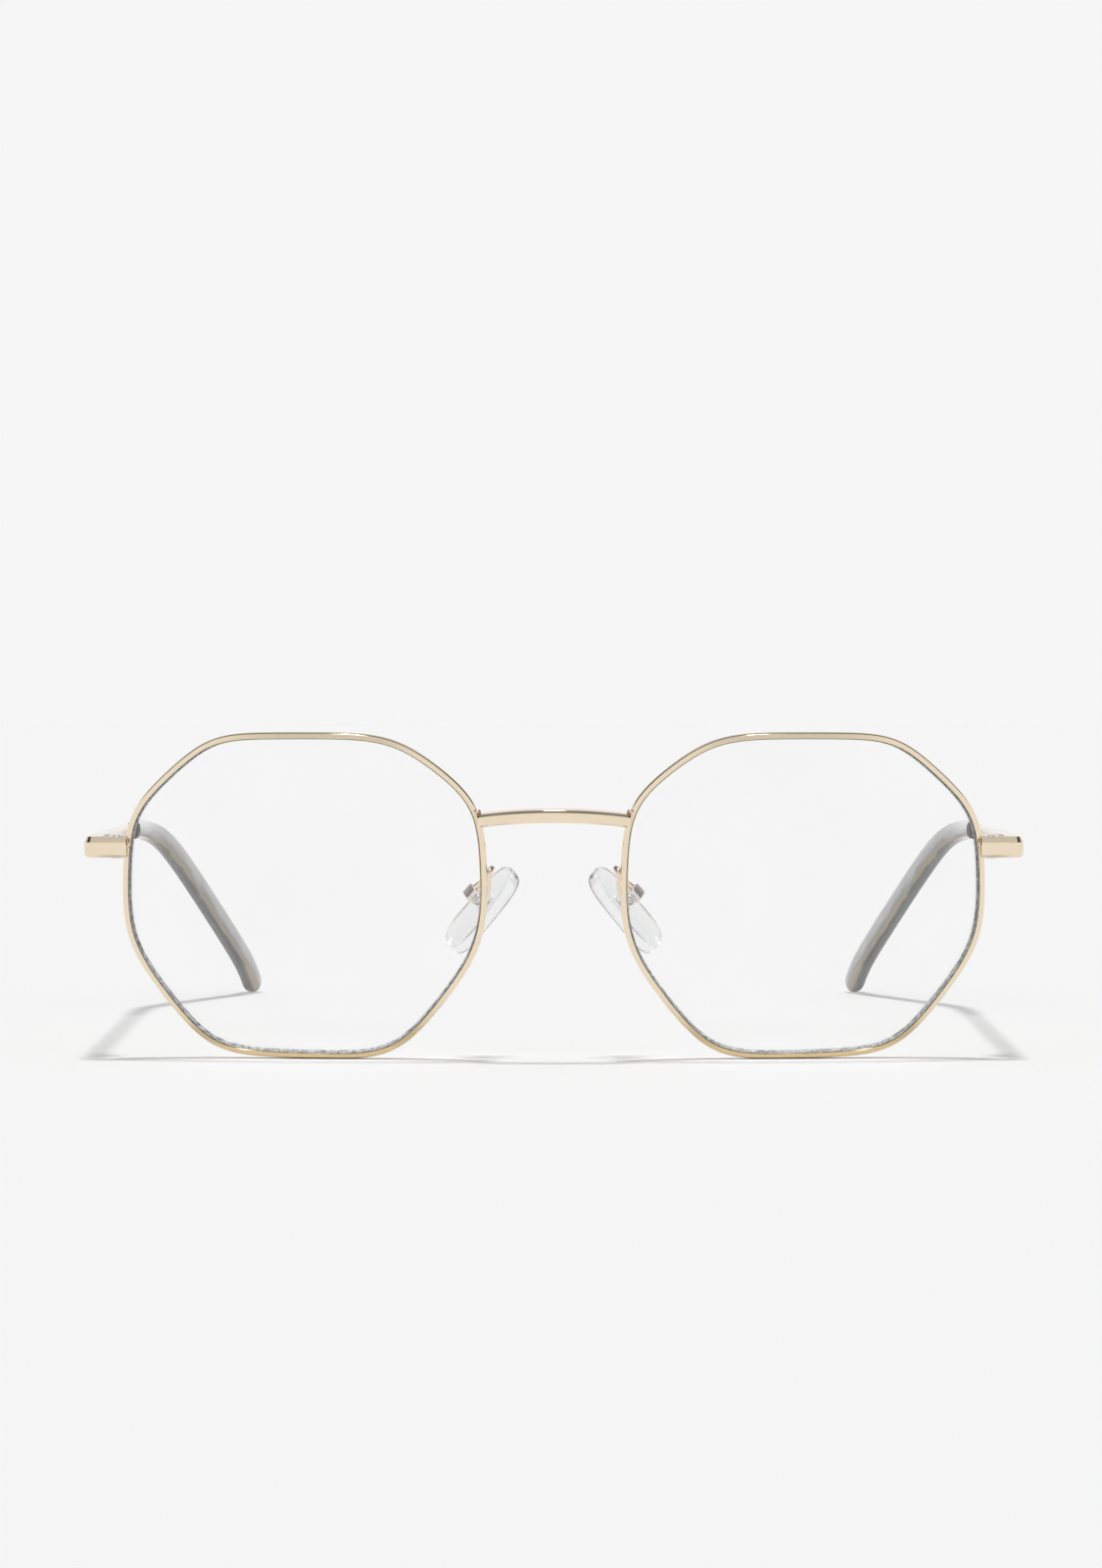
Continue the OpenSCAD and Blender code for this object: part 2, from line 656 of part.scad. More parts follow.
// Share -1 is the foot's lower end, 0 its top, and 1 the end in the box
function arm_at(t) =
    t < 0 ? arm_top + (arm_low - arm_top) * -t
    : (1 - t) ^ 3 * arm_top + 3 * (1 - t) ^ 2 * t * arm_bow
      + 3 * (1 - t) * t ^ 2 * arm_pull + t ^ 3 * arm_last;
arm_step = 0.02;
arm_foot_share = 0.85;
arm_tip_share = 0.6;
function arm_way(t) = unit(arm_at(min(1, t + arm_step)) - arm_at(max(-1, t - arm_step)));
function arm_loop(t, r) =
    let (w = arm_way(t), s = unit(cross(w, [1, 0, 0])), u = cross(s, w))
    [for (i = [0 : arm_sides - 1])
        arm_at(t) + r * (s * cos(360 * i / arm_sides) + u * sin(360 * i / arm_sides))];

module pad_arm() {
    color(gold) on_lean() difference() {
        skin(concat(
            [arm_loop(-1, arm_r * arm_tip_share), arm_loop(-arm_foot_share, arm_r), arm_loop(0, arm_r)],
            [for (i = [1 : arm_rows]) arm_loop(i / arm_rows, arm_r)]
        ));
        rim_seat(arm_turn, 4);
    }
}

on_left() rim();  // rim_left
on_right() rim();  // rim_right
bridge();
on_left() lens();  // lens_left
on_right() lens();  // lens_right
on_left() endpiece();  // endpiece_left
on_right() endpiece();  // endpiece_right
on_left() closing_block_upper();  // closing_block_upper_left
on_right() closing_block_upper();  // closing_block_upper_right
on_left() closing_block_lower();  // closing_block_lower_left
on_right() closing_block_lower();  // closing_block_lower_right
on_left() closing_screw();  // closing_screw_left
on_right() closing_screw();  // closing_screw_right
on_left() hinge_front();  // hinge_front_left
on_right() hinge_front();  // hinge_front_right
on_left() hinge_temple();  // hinge_temple_left
on_right() hinge_temple();  // hinge_temple_right
on_left() hinge_screw();  // hinge_screw_left
on_right() hinge_screw();  // hinge_screw_right
on_left() temple();  // temple_left
on_right() temple();  // temple_right
on_left() temple_tip();  // temple_tip_left
on_right() temple_tip();  // temple_tip_right
on_left() pad_arm();  // pad_arm_left
on_right() pad_arm();  // pad_arm_right
on_left() pad_box();  // pad_box_left
on_right() pad_box();  // pad_box_right
on_left() pad_mount();  // pad_mount_left
on_right() pad_mount();  // pad_mount_right
on_left() nose_pad();  // nose_pad_left
on_right() nose_pad();  // nose_pad_right
on_left() pad_screw();  // pad_screw_left
on_right() pad_screw();  // pad_screw_right
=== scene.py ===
import math
import bpy
import numpy as np
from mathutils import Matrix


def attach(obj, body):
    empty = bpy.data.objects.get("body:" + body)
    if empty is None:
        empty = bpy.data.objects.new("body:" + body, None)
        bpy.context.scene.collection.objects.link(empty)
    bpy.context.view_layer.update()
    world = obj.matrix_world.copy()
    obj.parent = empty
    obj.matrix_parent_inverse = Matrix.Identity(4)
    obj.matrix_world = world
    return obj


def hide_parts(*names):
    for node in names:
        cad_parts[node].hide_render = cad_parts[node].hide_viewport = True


# Metal eyeglasses with eight-sided lenses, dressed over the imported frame. Lengths in the dictionaries are
# millimetres and angles are degrees. Left is the wearer's left, at +X.

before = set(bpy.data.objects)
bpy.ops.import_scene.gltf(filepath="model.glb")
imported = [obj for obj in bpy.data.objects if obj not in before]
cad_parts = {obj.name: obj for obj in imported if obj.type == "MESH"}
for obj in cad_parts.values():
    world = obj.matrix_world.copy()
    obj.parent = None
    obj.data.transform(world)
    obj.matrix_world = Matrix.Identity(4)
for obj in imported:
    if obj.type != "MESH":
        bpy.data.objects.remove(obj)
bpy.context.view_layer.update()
mm = 0.001
print("frame loaded:", len(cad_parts), "nodes")


def addObject(name, data):
    made = bpy.data.objects.new(name, data)
    bpy.context.scene.collection.objects.link(made)
    return made


# The camera comes first. It stands in front, at the photograph's angle, and looks back and a little down
camera = dict(across=-0.41, away=669.22, height=52.1, down=1.2265, lens=97.94, sensor=36.0, nearest=10.0)


def placeCamera():
    eye = bpy.data.cameras.new("eye")
    eye.lens = camera["lens"]
    eye.sensor_width = camera["sensor"]
    eye.clip_start = camera["nearest"] * mm
    eyeObject = addObject("eye", eye)
    eyeObject.location = (camera["across"] * mm, -camera["away"] * mm, camera["height"] * mm)
    eyeObject.rotation_euler = (math.radians(90 - camera["down"]), 0, 0)
    bpy.context.scene.camera = eyeObject


placeCamera()
bpy.context.scene.view_settings.view_transform = "Standard"
print("camera set")


def unit(v):  # v divided by its length
    return v / np.linalg.norm(v, axis=-1, keepdims=True)


def smooth(t):  # 3 t^2 - 2 t^3 between 0 and 1
    c = np.clip(t, 0, 1)
    return c * c * (3 - 2 * c)


def mix(a, b, t):  # a where t is 0, b where it is 1
    return a + (b - a) * t


def stack(x, y, z):  # points with these coordinates
    return np.stack(np.broadcast_arrays(x, y, z), -1).astype(float)


def quarter(count):  # even angles over a quarter turn
    return np.linspace(0, np.pi / 2, count)


def allRound(count, first=0.0):  # even angles over a whole turn
    return (np.arange(count) + first) * 2 * np.pi / count


def arc(radius, angles):  # radius times the cosine and the sine of each angle
    return np.stack([radius * np.cos(angles), radius * np.sin(angles)], -1)


def rounded(t, k):  # a superellipse: the cosine and sine of t, each to the power 2 / k
    c, s = np.cos(t), np.sin(t)
    return np.sign(c) * np.abs(c) ** (2 / k), np.sign(s) * np.abs(s) ** (2 / k)


def softCorners(corners, radius, steps=3, hold=0.03):
    # Each corner of a closed outline becomes an arc: its centre lies radius / sin(half the angle) along the
    # bisector, and a support point on either side, at the distance hold, keeps the flats flat
    corners = np.asarray(corners, float)
    back = unit(np.roll(corners, 1, 0) - corners)
    on = unit(np.roll(corners, -1, 0) - corners)
    half = np.arccos(np.clip((back * on).sum(-1), -1, 1))[:, None] / 2
    radius = np.broadcast_to(np.reshape(radius, (-1, 1)), half.shape)
    centre = corners + unit(back + on) * radius / np.sin(half)
    first = corners + back * radius / np.tan(half)
    last = corners + on * radius / np.tan(half)
    angle = (np.pi - 2 * half)[:, None]
    t = np.linspace(0, 1, steps + 1)[None, :, None]
    bend = np.sin((1 - t) * angle) * (first - centre)[:, None] + np.sin(t * angle) * (last - centre)[:, None]
    bend = bend / np.sin(angle) + centre[:, None]
    rows = [(first + back * hold)[:, None], bend, (last + on * hold)[:, None]]
    return np.concatenate(rows, 1).reshape(-1, 2)


def softLine(corners, radius, steps=3, hold=0.03):  # the same for an open line, whose two end corners drop out
    return softCorners(corners, radius, steps, hold).reshape(len(corners), -1, 2)[1:-1].reshape(-1, 2)


def rectangle(x0, x1, y0, y1, radius):  # with rounded corners
    return softCorners([[x0, y0], [x1, y0], [x1, y1], [x0, y1]], radius)


def shell(loops, bands=None, run=None):
    # Joins closed loops of points (rows x points x 3) into one skin, with a flat face over each end. The signed
    # volume, a . (b x c) summed over the faces, tells whether they have to be turned to look outwards. bands holds
    # the finish of each row of faces, and run three numbers for each point, which a material may read
    m, n = loops.shape[:2]
    i = np.arange(m - 1)[:, None] * n
    j = np.arange(n)[None, :]
    on = (j + 1) % n
    quads = np.stack([i + j, i + on, i + n + on, i + n + j], -1).reshape(-1, 4)
    caps = [np.arange(n)[::-1], np.arange(n) + (m - 1) * n]
    points = loops.reshape(-1, 3)
    a, b, c, d = (points[quads[:, q]] for q in range(4))
    volume = (a * np.cross(b, c)).sum() + (a * np.cross(c, d)).sum()
    for cap in caps:
        volume += (points[cap[0]] * np.cross(points[cap[1:-1]], points[cap[2:]])).sum()
    if volume < 0:
        quads, caps = quads[:, ::-1], [cap[::-1] for cap in caps]
    marks = np.repeat([0] * (m - 1) if bands is None else bands, n)
    if run is None:
        run = stack(np.linspace(0, 1, m)[:, None], np.linspace(0, 1, n)[None, :], 0.0)
    return dict(points=points, quads=quads, caps=caps, marks=np.append(marks, [0] * len(caps)),
                run=run.reshape(-1, 3))


def plate(outline, low, high, bevel, place, steps=3):
    # A flat outline given thickness. Its edges are quarter rounds: inset = bevel (1 - cos q), height = bevel sin q
    outline = np.asarray(outline, float)
    before, after = np.roll(outline, 1, 0), np.roll(outline, -1, 0)
    along = unit(after - before)
    area = (outline[:, 0] * after[:, 1] - outline[:, 1] * after[:, 0]).sum()
    out = np.stack([along[:, 1], -along[:, 0]], -1) * np.sign(area)
    q = quarter(steps + 1)
    foot, top = bevel * (1 - np.sin(q)), bevel * (1 - np.cos(q))
    inset = np.concatenate([foot, top])[:, None]
    height = np.concatenate([low + top, high - foot])[:, None]
    flat = outline[None] - out[None] * inset[..., None]
    return shell(place(stack(flat[..., 0], flat[..., 1], height)))


def lathe(profile, place, sides=40):  # (radius, height) turned round its own z: x = r cos a, y = r sin a
    profile = np.asarray(profile, float)
    r, a = profile[:, :1], allRound(sides)
    return shell(place(stack(r * np.cos(a), r * np.sin(a), profile[:, 1:])))


def pin(radius, low, high, place, edge):
    # A round bar whose ends are rounded over: radius less edge (1 - sin q), height less edge (1 - cos q)
    q = quarter(4)
    r = radius - edge * (1 - np.concatenate([np.sin(q), np.cos(q)]))
    height = np.concatenate([low + edge * (1 - np.cos(q)), high - edge * (1 - np.sin(q))])
    return lathe(np.stack([r, height], -1), place)


screwCut = dict(floor=0.5, edge=0.07, points=25, sunk=0.02)  # sunk is how far the parts run into each other


def slottedHead(radius, low, high, slot, place, edge=screwCut["edge"]):
    # A screw head: a disc up to the floor of the slot, and above it two halves, each a circle cut by a chord
    floor = mix(low, high, screwCut["floor"])
    cut = math.asin(slot / 2 / radius)
    half = arc(radius, np.linspace(cut, np.pi - cut, screwCut["points"]))
    halves = [plate(half * [1, way], floor - screwCut["sunk"], high, edge, place, 2) for way in (1, -1)]
    return [pin(radius, low, floor, place, screwCut["sunk"])] + halves


def slottedScrew(radius, foot, footRound, headRadius, low, high, slot, place):  # a pin that runs into its head
    return [pin(radius, foot, low + screwCut["sunk"], place, footRound)] + slottedHead(
        headRadius, low, high, slot, place)


# The measures of the front and of what hangs on it are those of the part's source. The places of these pieces
# depend on each other, so their dictionaries come before the first of them
lens = dict(width=51.3, height=46.5, gap=19.7, thick=1.7, curve=130.0, clear=0.06, play=0.03,
            corner=13,  # the higher, the sharper the eight corners
            turns=[3, 48, 89, 126, 177, 219, 271, 322],  # where each side looks, from the temple upwards
            reach=[0.94, 0.84, 0.76, 1.012, 1.21, 1.25, 1.14, 1.05],  # how far out each side lies
            rings=[0.002, 0.15, 0.3, 0.45, 0.6, 0.74, 0.86, 0.95], bevelFoot=0.24, bevelEdge=0.03, points=480)
rim = dict(width=0.95, depth=2.0, groove=0.5, split=0.15, rows=640, steps=3, hold=0.02, standRows=117,
           section=[[-0.5, 0.07], [-0.43, 0], [0.2, 0], [0.37, 0.1], [0.47, 0.28], [0.5, 0.5], [0.47, 0.72],
                    [0.37, 0.9], [0.2, 1], [-0.32, 1], [-0.5, 0.87], [-0.5, 0.78], [0.0263, 0.5], [-0.5, 0.22]],
           rounds=[0.04, 0.04, 0.06, 0.2, 0.3, 0.5, 0.3, 0.2, 0.06, 0.06, 0.06, 0.03, 0.05, 0.03])
front = dict(tilt=9.5, wrap=4.4, endTurn=5.2, bridgeTurn=166.8, armTurn=186)  # turns round the lens's outline
bridge = dict(height=1.8, depth=1.9, rise=0.95, bow=1.2, seat=0.4, over=0.1, rows=120, edge=0.1,
              endRound=0.22, endSteps=4,
              section=[[-0.49, -0.34], [-0.49, 0.31], [-0.33, 0.5], [0.4, 0.5], [0.5, 0.4], [0.5, -0.4],
                       [0.4, -0.5], [-0.36, -0.5]])
end = dict(height=3.0, thick=1.4, reach=6.05, leg=7.25, corner=1.4, bevelHeight=0.85, bevelDepth=0.4, proud=0.6,
           lowRound=0.4, innerRound=0.4, over=0.05, seatGap=0.1, lowLip=0.06, highLip=0.04, straight=0.3,
           rounds=[0.01, 0.03, 0.08, 0.07, 0.03, 0.01], hold=0.01, cornerSteps=17, innerSteps=9)
hinge = dict(barrel=1.1, screw=0.7, leaf=0.5, frontLeaf=3.6, templeLeaf=6.0, gap=0.1, head=0.95,
             headHeight=0.4, slot=0.3, topDrop=0.12, bevel=0.07, leafRound=0.15, leafBevel=0.06, screwFoot=0.03,
             screwRound=0.1, points=40)
temple = dict(reach=132.1, bend=99.6, bendSoft=5.7, turn=94.2, turnSoft=5.3, spread=2.35, turnIn=17.6,
              straight=5.0, straightOut=1.5, straightSoft=3.0, thick=1.2, height=2.1, core=0.65,
              coreShort=7.0, coreBlend=9.0, barBox=7.0, butt=[0.05, 0.4], buttEnd=3.0, rows=230, sides=40,
              shy=0.04)  # how far bar and sleeve stay inside their solids
tip = dict(start=77.0, thick=2.4, height=3.0, endThick=3.4, endHeight=3.6, rest=0.15, swell=0.5, box=2.4,
           mouth=0.25, mouthSteps=9, endSteps=14, endTurn=0.49, endShrink=0.47, bore=0.04, boreRows=60, rows=150,
           sides=48)

tilt, wrap = math.radians(front["tilt"]), math.radians(front["wrap"])
lensX = (lens["width"] + lens["gap"]) / 2


def figure(turn):
    # Each of the eight sides pulls by the cosine of the angle to it over its reach. The radius is the sum of the
    # pulls to the power corner, and this to the power -1 / corner
    a = np.radians(np.asarray(turn, float))
    pulls = np.cos(a[..., None] - np.radians(lens["turns"])) / np.array(lens["reach"])
    return arc((np.maximum(0, pulls) ** lens["corner"]).sum(-1) ** (-1 / lens["corner"]), a)


whole = figure(np.arange(360))
wholeLow, wholeHigh = whole.min(0), whole.max(0)


def outline(turn):  # the figure, moved and stretched to the lens's width and height
    p = (figure(turn) - (wholeLow + wholeHigh) / 2) / (wholeHigh - wholeLow)
    return p * [lens["width"], lens["height"]]


def outward(turn):  # the outline's tangent, turned by a quarter
    d = outline(np.asarray(turn, float) + 0.25) - outline(np.asarray(turn, float) - 0.25)
    return unit(np.stack([d[..., 1], -d[..., 0]], -1))


def onFront(p, back):  # the lens's curve: sag = R - (1 - back / R) sqrt(R^2 - x^2 - y^2), then the wrap's turn
    share = 1 - back / lens["curve"]
    sag = lens["curve"] - share * np.sqrt(lens["curve"] ** 2 - (p ** 2).sum(-1))
    x, y = p[..., 0] * share, p[..., 1] * share
    return stack(lensX + x * np.cos(wrap) - sag * np.sin(wrap), x * np.sin(wrap) + sag * np.cos(wrap), y)


def leaned(p):  # turned about x by the tilt
    y, z = p[..., 1], p[..., 2]
    return stack(p[..., 0], y * np.cos(tilt) - z * np.sin(tilt), y * np.sin(tilt) + z * np.cos(tilt))


def wire(turn, section):  # outline + outward x the section's first number, as far back as its second
    across, back = np.asarray(section, float).T
    p = outline(turn)[:, None] + outward(turn)[:, None] * across[None, :, None]
    return onFront(p, back[None])


rimSection = np.array(rim["section"]) * [rim["width"], rim["depth"]]
bridgeEnd = onFront(outline(front["bridgeTurn"]), 0)
splitAt = onFront(outline(front["endTurn"]), 0)
endRoot = leaned(splitAt)
endX = endRoot[0] + end["reach"]
endY, endZ = endRoot[1] - end["proud"], endRoot[2]
hingeY = endY + end["leg"]
hingeX = endX - end["thick"] - hinge["leaf"] - hinge["gap"] - hinge["barrel"]
bridgeY = bridgeEnd[1] + bridge["seat"] - bridge["depth"] / 2
frontMost = leaned(np.array([0, bridgeY - bridge["bow"] - bridge["depth"] / 2, bridgeEnd[2] + bridge["rise"]]))[1]

# The glasses stand on the table at z = 0, half in front of the middle and half behind it
standZ = -leaned(wire(np.linspace(0, 360, rim["standRows"]), rimSection))[..., 2].min()
standY = -(frontMost + hingeY + temple["reach"]) / 2
stand = np.array([0, standY, standZ])


def onStand(p):  # from the level frame at the bridge to world metres
    return (p + stand) * mm


def onLean(p):  # from the frame that leans with the front to world metres
    return onStand(leaned(p))


def onHinge(p):  # z runs along the left hinge screw
    return onStand(leaned(p) + [hingeX, hingeY, endZ])


def endways(p):  # local z becomes x, local x becomes y, local y becomes z
    return stack(p[..., 2], p[..., 0], p[..., 1])


# Small steps for materials. An input takes a link from another node or a fixed value. A bump is its strength and
# its depth in metres, and a noise its scale, its detail and its distortion

def feed(tree, made, feeds):
    for label, value in feeds.items():
        if isinstance(value, bpy.types.NodeSocket):
            tree.links.new(value, made.inputs[label])
        else:
            made.inputs[label].default_value = value


def node(tree, kind, feeds={}, **settings):
    made = tree.nodes.new(kind)
    for name, value in settings.items():
        setattr(made, name, value)
    feed(tree, made, feeds)
    return made


def solid(colour):  # a grey or a colour, with nothing seen through it
    return (*np.broadcast_to(colour, 3).tolist(), 1)


def maths(tree, operation, *terms):
    return node(tree, "ShaderNodeMath", dict(enumerate(terms)), operation=operation).outputs[0]


def blended(tree, factor, first, second, way="MIX"):  # first where the factor is 0, second where it is 1
    feeds = {0: factor, 6: first, 7: second}
    return node(tree, "ShaderNodeMix", feeds, data_type="RGBA", blend_type=way).outputs[2]


def mapped(tree, value, low, high, first=0.0, last=1.0, way="SMOOTHSTEP"):  # low..high becomes first..last
    feeds = {"Value": value, "From Min": low, "From Max": high, "To Min": first, "To Max": last}
    return node(tree, "ShaderNodeMapRange", feeds, interpolation_type=way).outputs["Result"]


def spread(tree, value, first, last):  # 0..1 becomes first..last
    return mapped(tree, value, 0.0, 1.0, first, last, "LINEAR")


def noise(tree, where, scale, detail, distortion=0.0):
    feeds = {"Vector": where, "Scale": scale, "Detail": detail, "Distortion": distortion}
    return node(tree, "ShaderNodeTexNoise", feeds).outputs["Fac"]


def bumped(tree, height, strength, distance):
    feeds = {"Height": height, "Strength": strength, "Distance": distance}
    return node(tree, "ShaderNodeBump", feeds).outputs["Normal"]


def ramp(tree, value, stops):
    made = node(tree, "ShaderNodeValToRGB", {"Fac": value})
    elements = made.color_ramp.elements
    while len(elements) < len(stops):
        elements.new(0.5)
    for element, (place, colour) in zip(elements, stops):
        element.position = place
        element.color = solid(colour)
    return made.outputs["Color"]


def onPiece(tree):  # where a point of the piece lies, in metres
    return node(tree, "ShaderNodeTexCoord").outputs["Object"]


def runOf(tree):  # the three numbers that a piece keeps for each point
    return node(tree, "ShaderNodeAttribute", attribute_name="run").outputs["Vector"]


def axes(tree, vector):
    return list(node(tree, "ShaderNodeSeparateXYZ", {"Vector": vector}).outputs)


def startMaterial(name):
    made = bpy.data.materials.new(name)
    made.use_nodes = True
    tree = made.node_tree
    return made, tree, tree.nodes["Principled BSDF"]


def effectGroup(name, inputs, outputs):
    group = bpy.data.node_groups.new(name, "ShaderNodeTree")
    for label, value in inputs.items():
        kind = "NodeSocketColor" if isinstance(value, tuple) else "NodeSocketFloat"
        group.interface.new_socket(name=label, in_out="INPUT", socket_type=kind).default_value = value
    for label, kind in outputs.items():
        group.interface.new_socket(name=label, in_out="OUTPUT", socket_type=kind)
    return group, group.nodes.new("NodeGroupInput").outputs, group.nodes.new("NodeGroupOutput")


# Heights and the bump's depth are metres here
# low paints that shade into the tone, up to 11 mm above the table, and the next pair the painted contact shadow
# where the metal stands on it
polishing = dict(drift=[90.0, 3.0], lines=[700.0, 2.0, 2.5], peel=[2600.0, 4.0], peelDepth=0.00002,
                 low=[0.0, 0.011, 0.9, 0.0], paintedContactShadow=[0.0001, 0.00035, 0.85, 0.0], paintedContactShadowTone=(0.09, 0.075, 0.05))


def makePolish():
    # Plated metal. Its tone drifts slowly to a warm one. Near the table it turns to Deep, painted shade that
    # stands for the shaded floor it reflects there, and where it stands on the table a painted contact shadow
    # makes it dark.
    # Its roughness is Gloss + Haze x fine polishing lines, and Peel is a faint unevenness of the plating
    group, given, result = effectGroup(
        "polish",
        {"Tone": (0.8, 0.8, 0.8, 1), "Warm": (0.9, 0.7, 0.6, 1), "Deep": (0.7, 0.5, 0.3, 1), "Drift": 0.2,
         "Gloss": 0.1, "Haze": 0.05, "Peel": 0.02},
        {"Color": "NodeSocketColor", "Roughness": "NodeSocketFloat", "Normal": "NodeSocketVector"})
    where = onPiece(group)
    height = axes(group, where)[2]
    drift = maths(group, "MULTIPLY", noise(group, where, *polishing["drift"]), given["Drift"])
    tone = blended(group, drift, given["Tone"], given["Warm"])
    # Painted shade near the table, then a painted contact shadow where the metal stands on it
    tone = blended(group, mapped(group, height, *polishing["low"]), tone, given["Deep"])
    tone = blended(group, mapped(group, height, *polishing["paintedContactShadow"]), tone, solid(polishing["paintedContactShadowTone"]))
    lines = noise(group, where, *polishing["lines"])
    peel = noise(group, where, *polishing["peel"])
    feed(group, result, {"Color": tone,
                         "Roughness": maths(group, "MULTIPLY_ADD", lines, given["Haze"], given["Gloss"]),
                         "Normal": bumped(group, peel, given["Peel"], polishing["peelDepth"])})
    return group


polish = makePolish()


def metal(name, **values):  # a plated metal with its own values for the inputs of the polish
    made, tree, shader = startMaterial(name)
    feeds = {label.capitalize(): solid(value) if isinstance(value, tuple) else value
             for label, value in values.items()}
    effect = node(tree, "ShaderNodeGroup", feeds, node_tree=polish).outputs
    feed(tree, shader, {"Metallic": 1.0, "Base Color": effect["Color"], "Roughness": effect["Roughness"],
                        "Normal": effect["Normal"]})
    return made


def letLightThrough(tree, shader, clear):
    # For shadow rays the plastic is a sheet with a faint tint, so that it throws a light shadow
    inShadow = node(tree, "ShaderNodeLightPath").outputs["Is Shadow Ray"]
    sheet = node(tree, "ShaderNodeBsdfTransparent", {"Color": solid(clear)}).outputs["BSDF"]
    both = node(tree, "ShaderNodeMixShader", {"Fac": inShadow, 1: shader.outputs["BSDF"], 2: sheet})
    feed(tree, tree.nodes["Material Output"], {"Surface": both.outputs["Shader"]})


lensLook = dict(index=1.5, smear=[60.0, 2.0], tones=[(0.3, (0.985, 0.99, 0.985)), (0.7, 1.0)], film=0.012,
                shadow=0.97)


def clearLens():
    made, tree, shader = startMaterial("lensClear")
    smear = noise(tree, onPiece(tree), *lensLook["smear"])
    feed(tree, shader, {"Transmission Weight": 1.0, "IOR": lensLook["index"],
                        "Base Color": ramp(tree, smear, lensLook["tones"]),
                        "Roughness": spread(tree, smear, 0.0, lensLook["film"])})
    letLightThrough(tree, shader, lensLook["shadow"])
    return made


groundLook = dict(marks=[1500.0, 3.0], tones=[(0.32, (0.16, 0.16, 0.17)), (0.48, (0.42, 0.43, 0.44)), (0.64, 0.7)],
                  paintedGrooveGold=(0.97, 0.88, 0.7), paintedGrooveGoldWay=[-0.588, 0.809], paintedGrooveGoldEdge=[0.3, 0.45], rough=[0.35, 0.6],
                  bump=[0.3, 0.00005])


def groundEdge():
    # The ground edge of the lens: frosted, grey, with the wheel's short marks across it. Over the top and down the
    # nose side it is polished, and the gold of the groove that it reflects is painted into its colour, a painted
    # reflection: "run" holds the cosine and sine of the turn round the lens, and the mask is their product with
    # those of 126 degrees
    made, tree, shader = startMaterial("lensGround")
    marks = noise(tree, onPiece(tree), *groundLook["marks"])
    _, cosine, sine = axes(tree, runOf(tree))
    # The mask of the painted reflection of the groove's gold
    paintedGrooveGold = maths(tree, "ADD", maths(tree, "MULTIPLY", cosine, groundLook["paintedGrooveGoldWay"][0]),
                   maths(tree, "MULTIPLY", sine, groundLook["paintedGrooveGoldWay"][1]))
    tone = blended(tree, mapped(tree, paintedGrooveGold, *groundLook["paintedGrooveGoldEdge"]), ramp(tree, marks, groundLook["tones"]),
                   solid(groundLook["paintedGrooveGold"]))
    feed(tree, shader, {"Base Color": tone, "Roughness": spread(tree, marks, *groundLook["rough"]),
                        "Normal": bumped(tree, marks, *groundLook["bump"])})
    return made


padLook = dict(index=1.34, cloud=[400.0, 3.0], tones=[(0.3, (0.93, 0.935, 0.935)), (0.7, (0.965, 0.97, 0.97))],
               slantTintAndPaintedShade=[(0.0, 1.0), (0.5, 0.96), (0.8, (0.76, 0.76, 0.77)), (1.0, (0.36, 0.36, 0.37))],
               rough=[0.08, 0.2], bump=[0.05, 0.00005], shadow=0.8)


def clearPad():  # soft clear plastic, faintly cloudy. Where the surface turns away at a slant its colour darkens: partly the faint tint over a longer path, mostly painted shade that draws the dark outlines of its edges
    made, tree, shader = startMaterial("padClear")
    cloud = noise(tree, onPiece(tree), *padLook["cloud"])
    # Painted shade at the edges: the tone falls to dark grey where the surface is seen at a slant
    facing = node(tree, "ShaderNodeLayerWeight", {"Blend": 0.5}).outputs["Facing"]
    tone = blended(tree, 1.0, ramp(tree, cloud, padLook["tones"]), ramp(tree, facing, padLook["slantTintAndPaintedShade"]),
                   "MULTIPLY")
    feed(tree, shader, {"Transmission Weight": 1.0, "IOR": padLook["index"], "Base Color": tone,
                        "Roughness": spread(tree, cloud, *padLook["rough"]),
                        "Normal": bumped(tree, cloud, *padLook["bump"])})
    letLightThrough(tree, shader, padLook["shadow"])
    return made


# across sets how much painted shade and light the side adds; tones runs from the painted shade of the outer lower
# side through the tan streak to the painted light of the inner upper side
tipLook = dict(index=1.46, clear=0.4, stretch=(0.11, 0.7, 0.7), streaks=[2.0, 4.0, 0.8], across=0.35, wander=0.5,
               tones=[(0.1, 0.17), (0.36, 0.24), (0.43, (0.54, 0.46, 0.34)), (0.58, (0.58, 0.5, 0.38)),
                      (0.65, 0.46), (0.78, (0.66, 0.66, 0.67)), (1.0, (0.82, 0.82, 0.83))],
               mouthTone=(0.84, 0.84, 0.83), mouth=[80.0, 92.0, 0.75, 0.0], lipTone=(0.2, 0.2, 0.18),
               lip=[77.18, 77.5, 1.0, 0.0], rough=[0.08, 0.22], peel=[1200.0, 2.0], bump=[0.04, 0.00005],
               shadow=0.55)


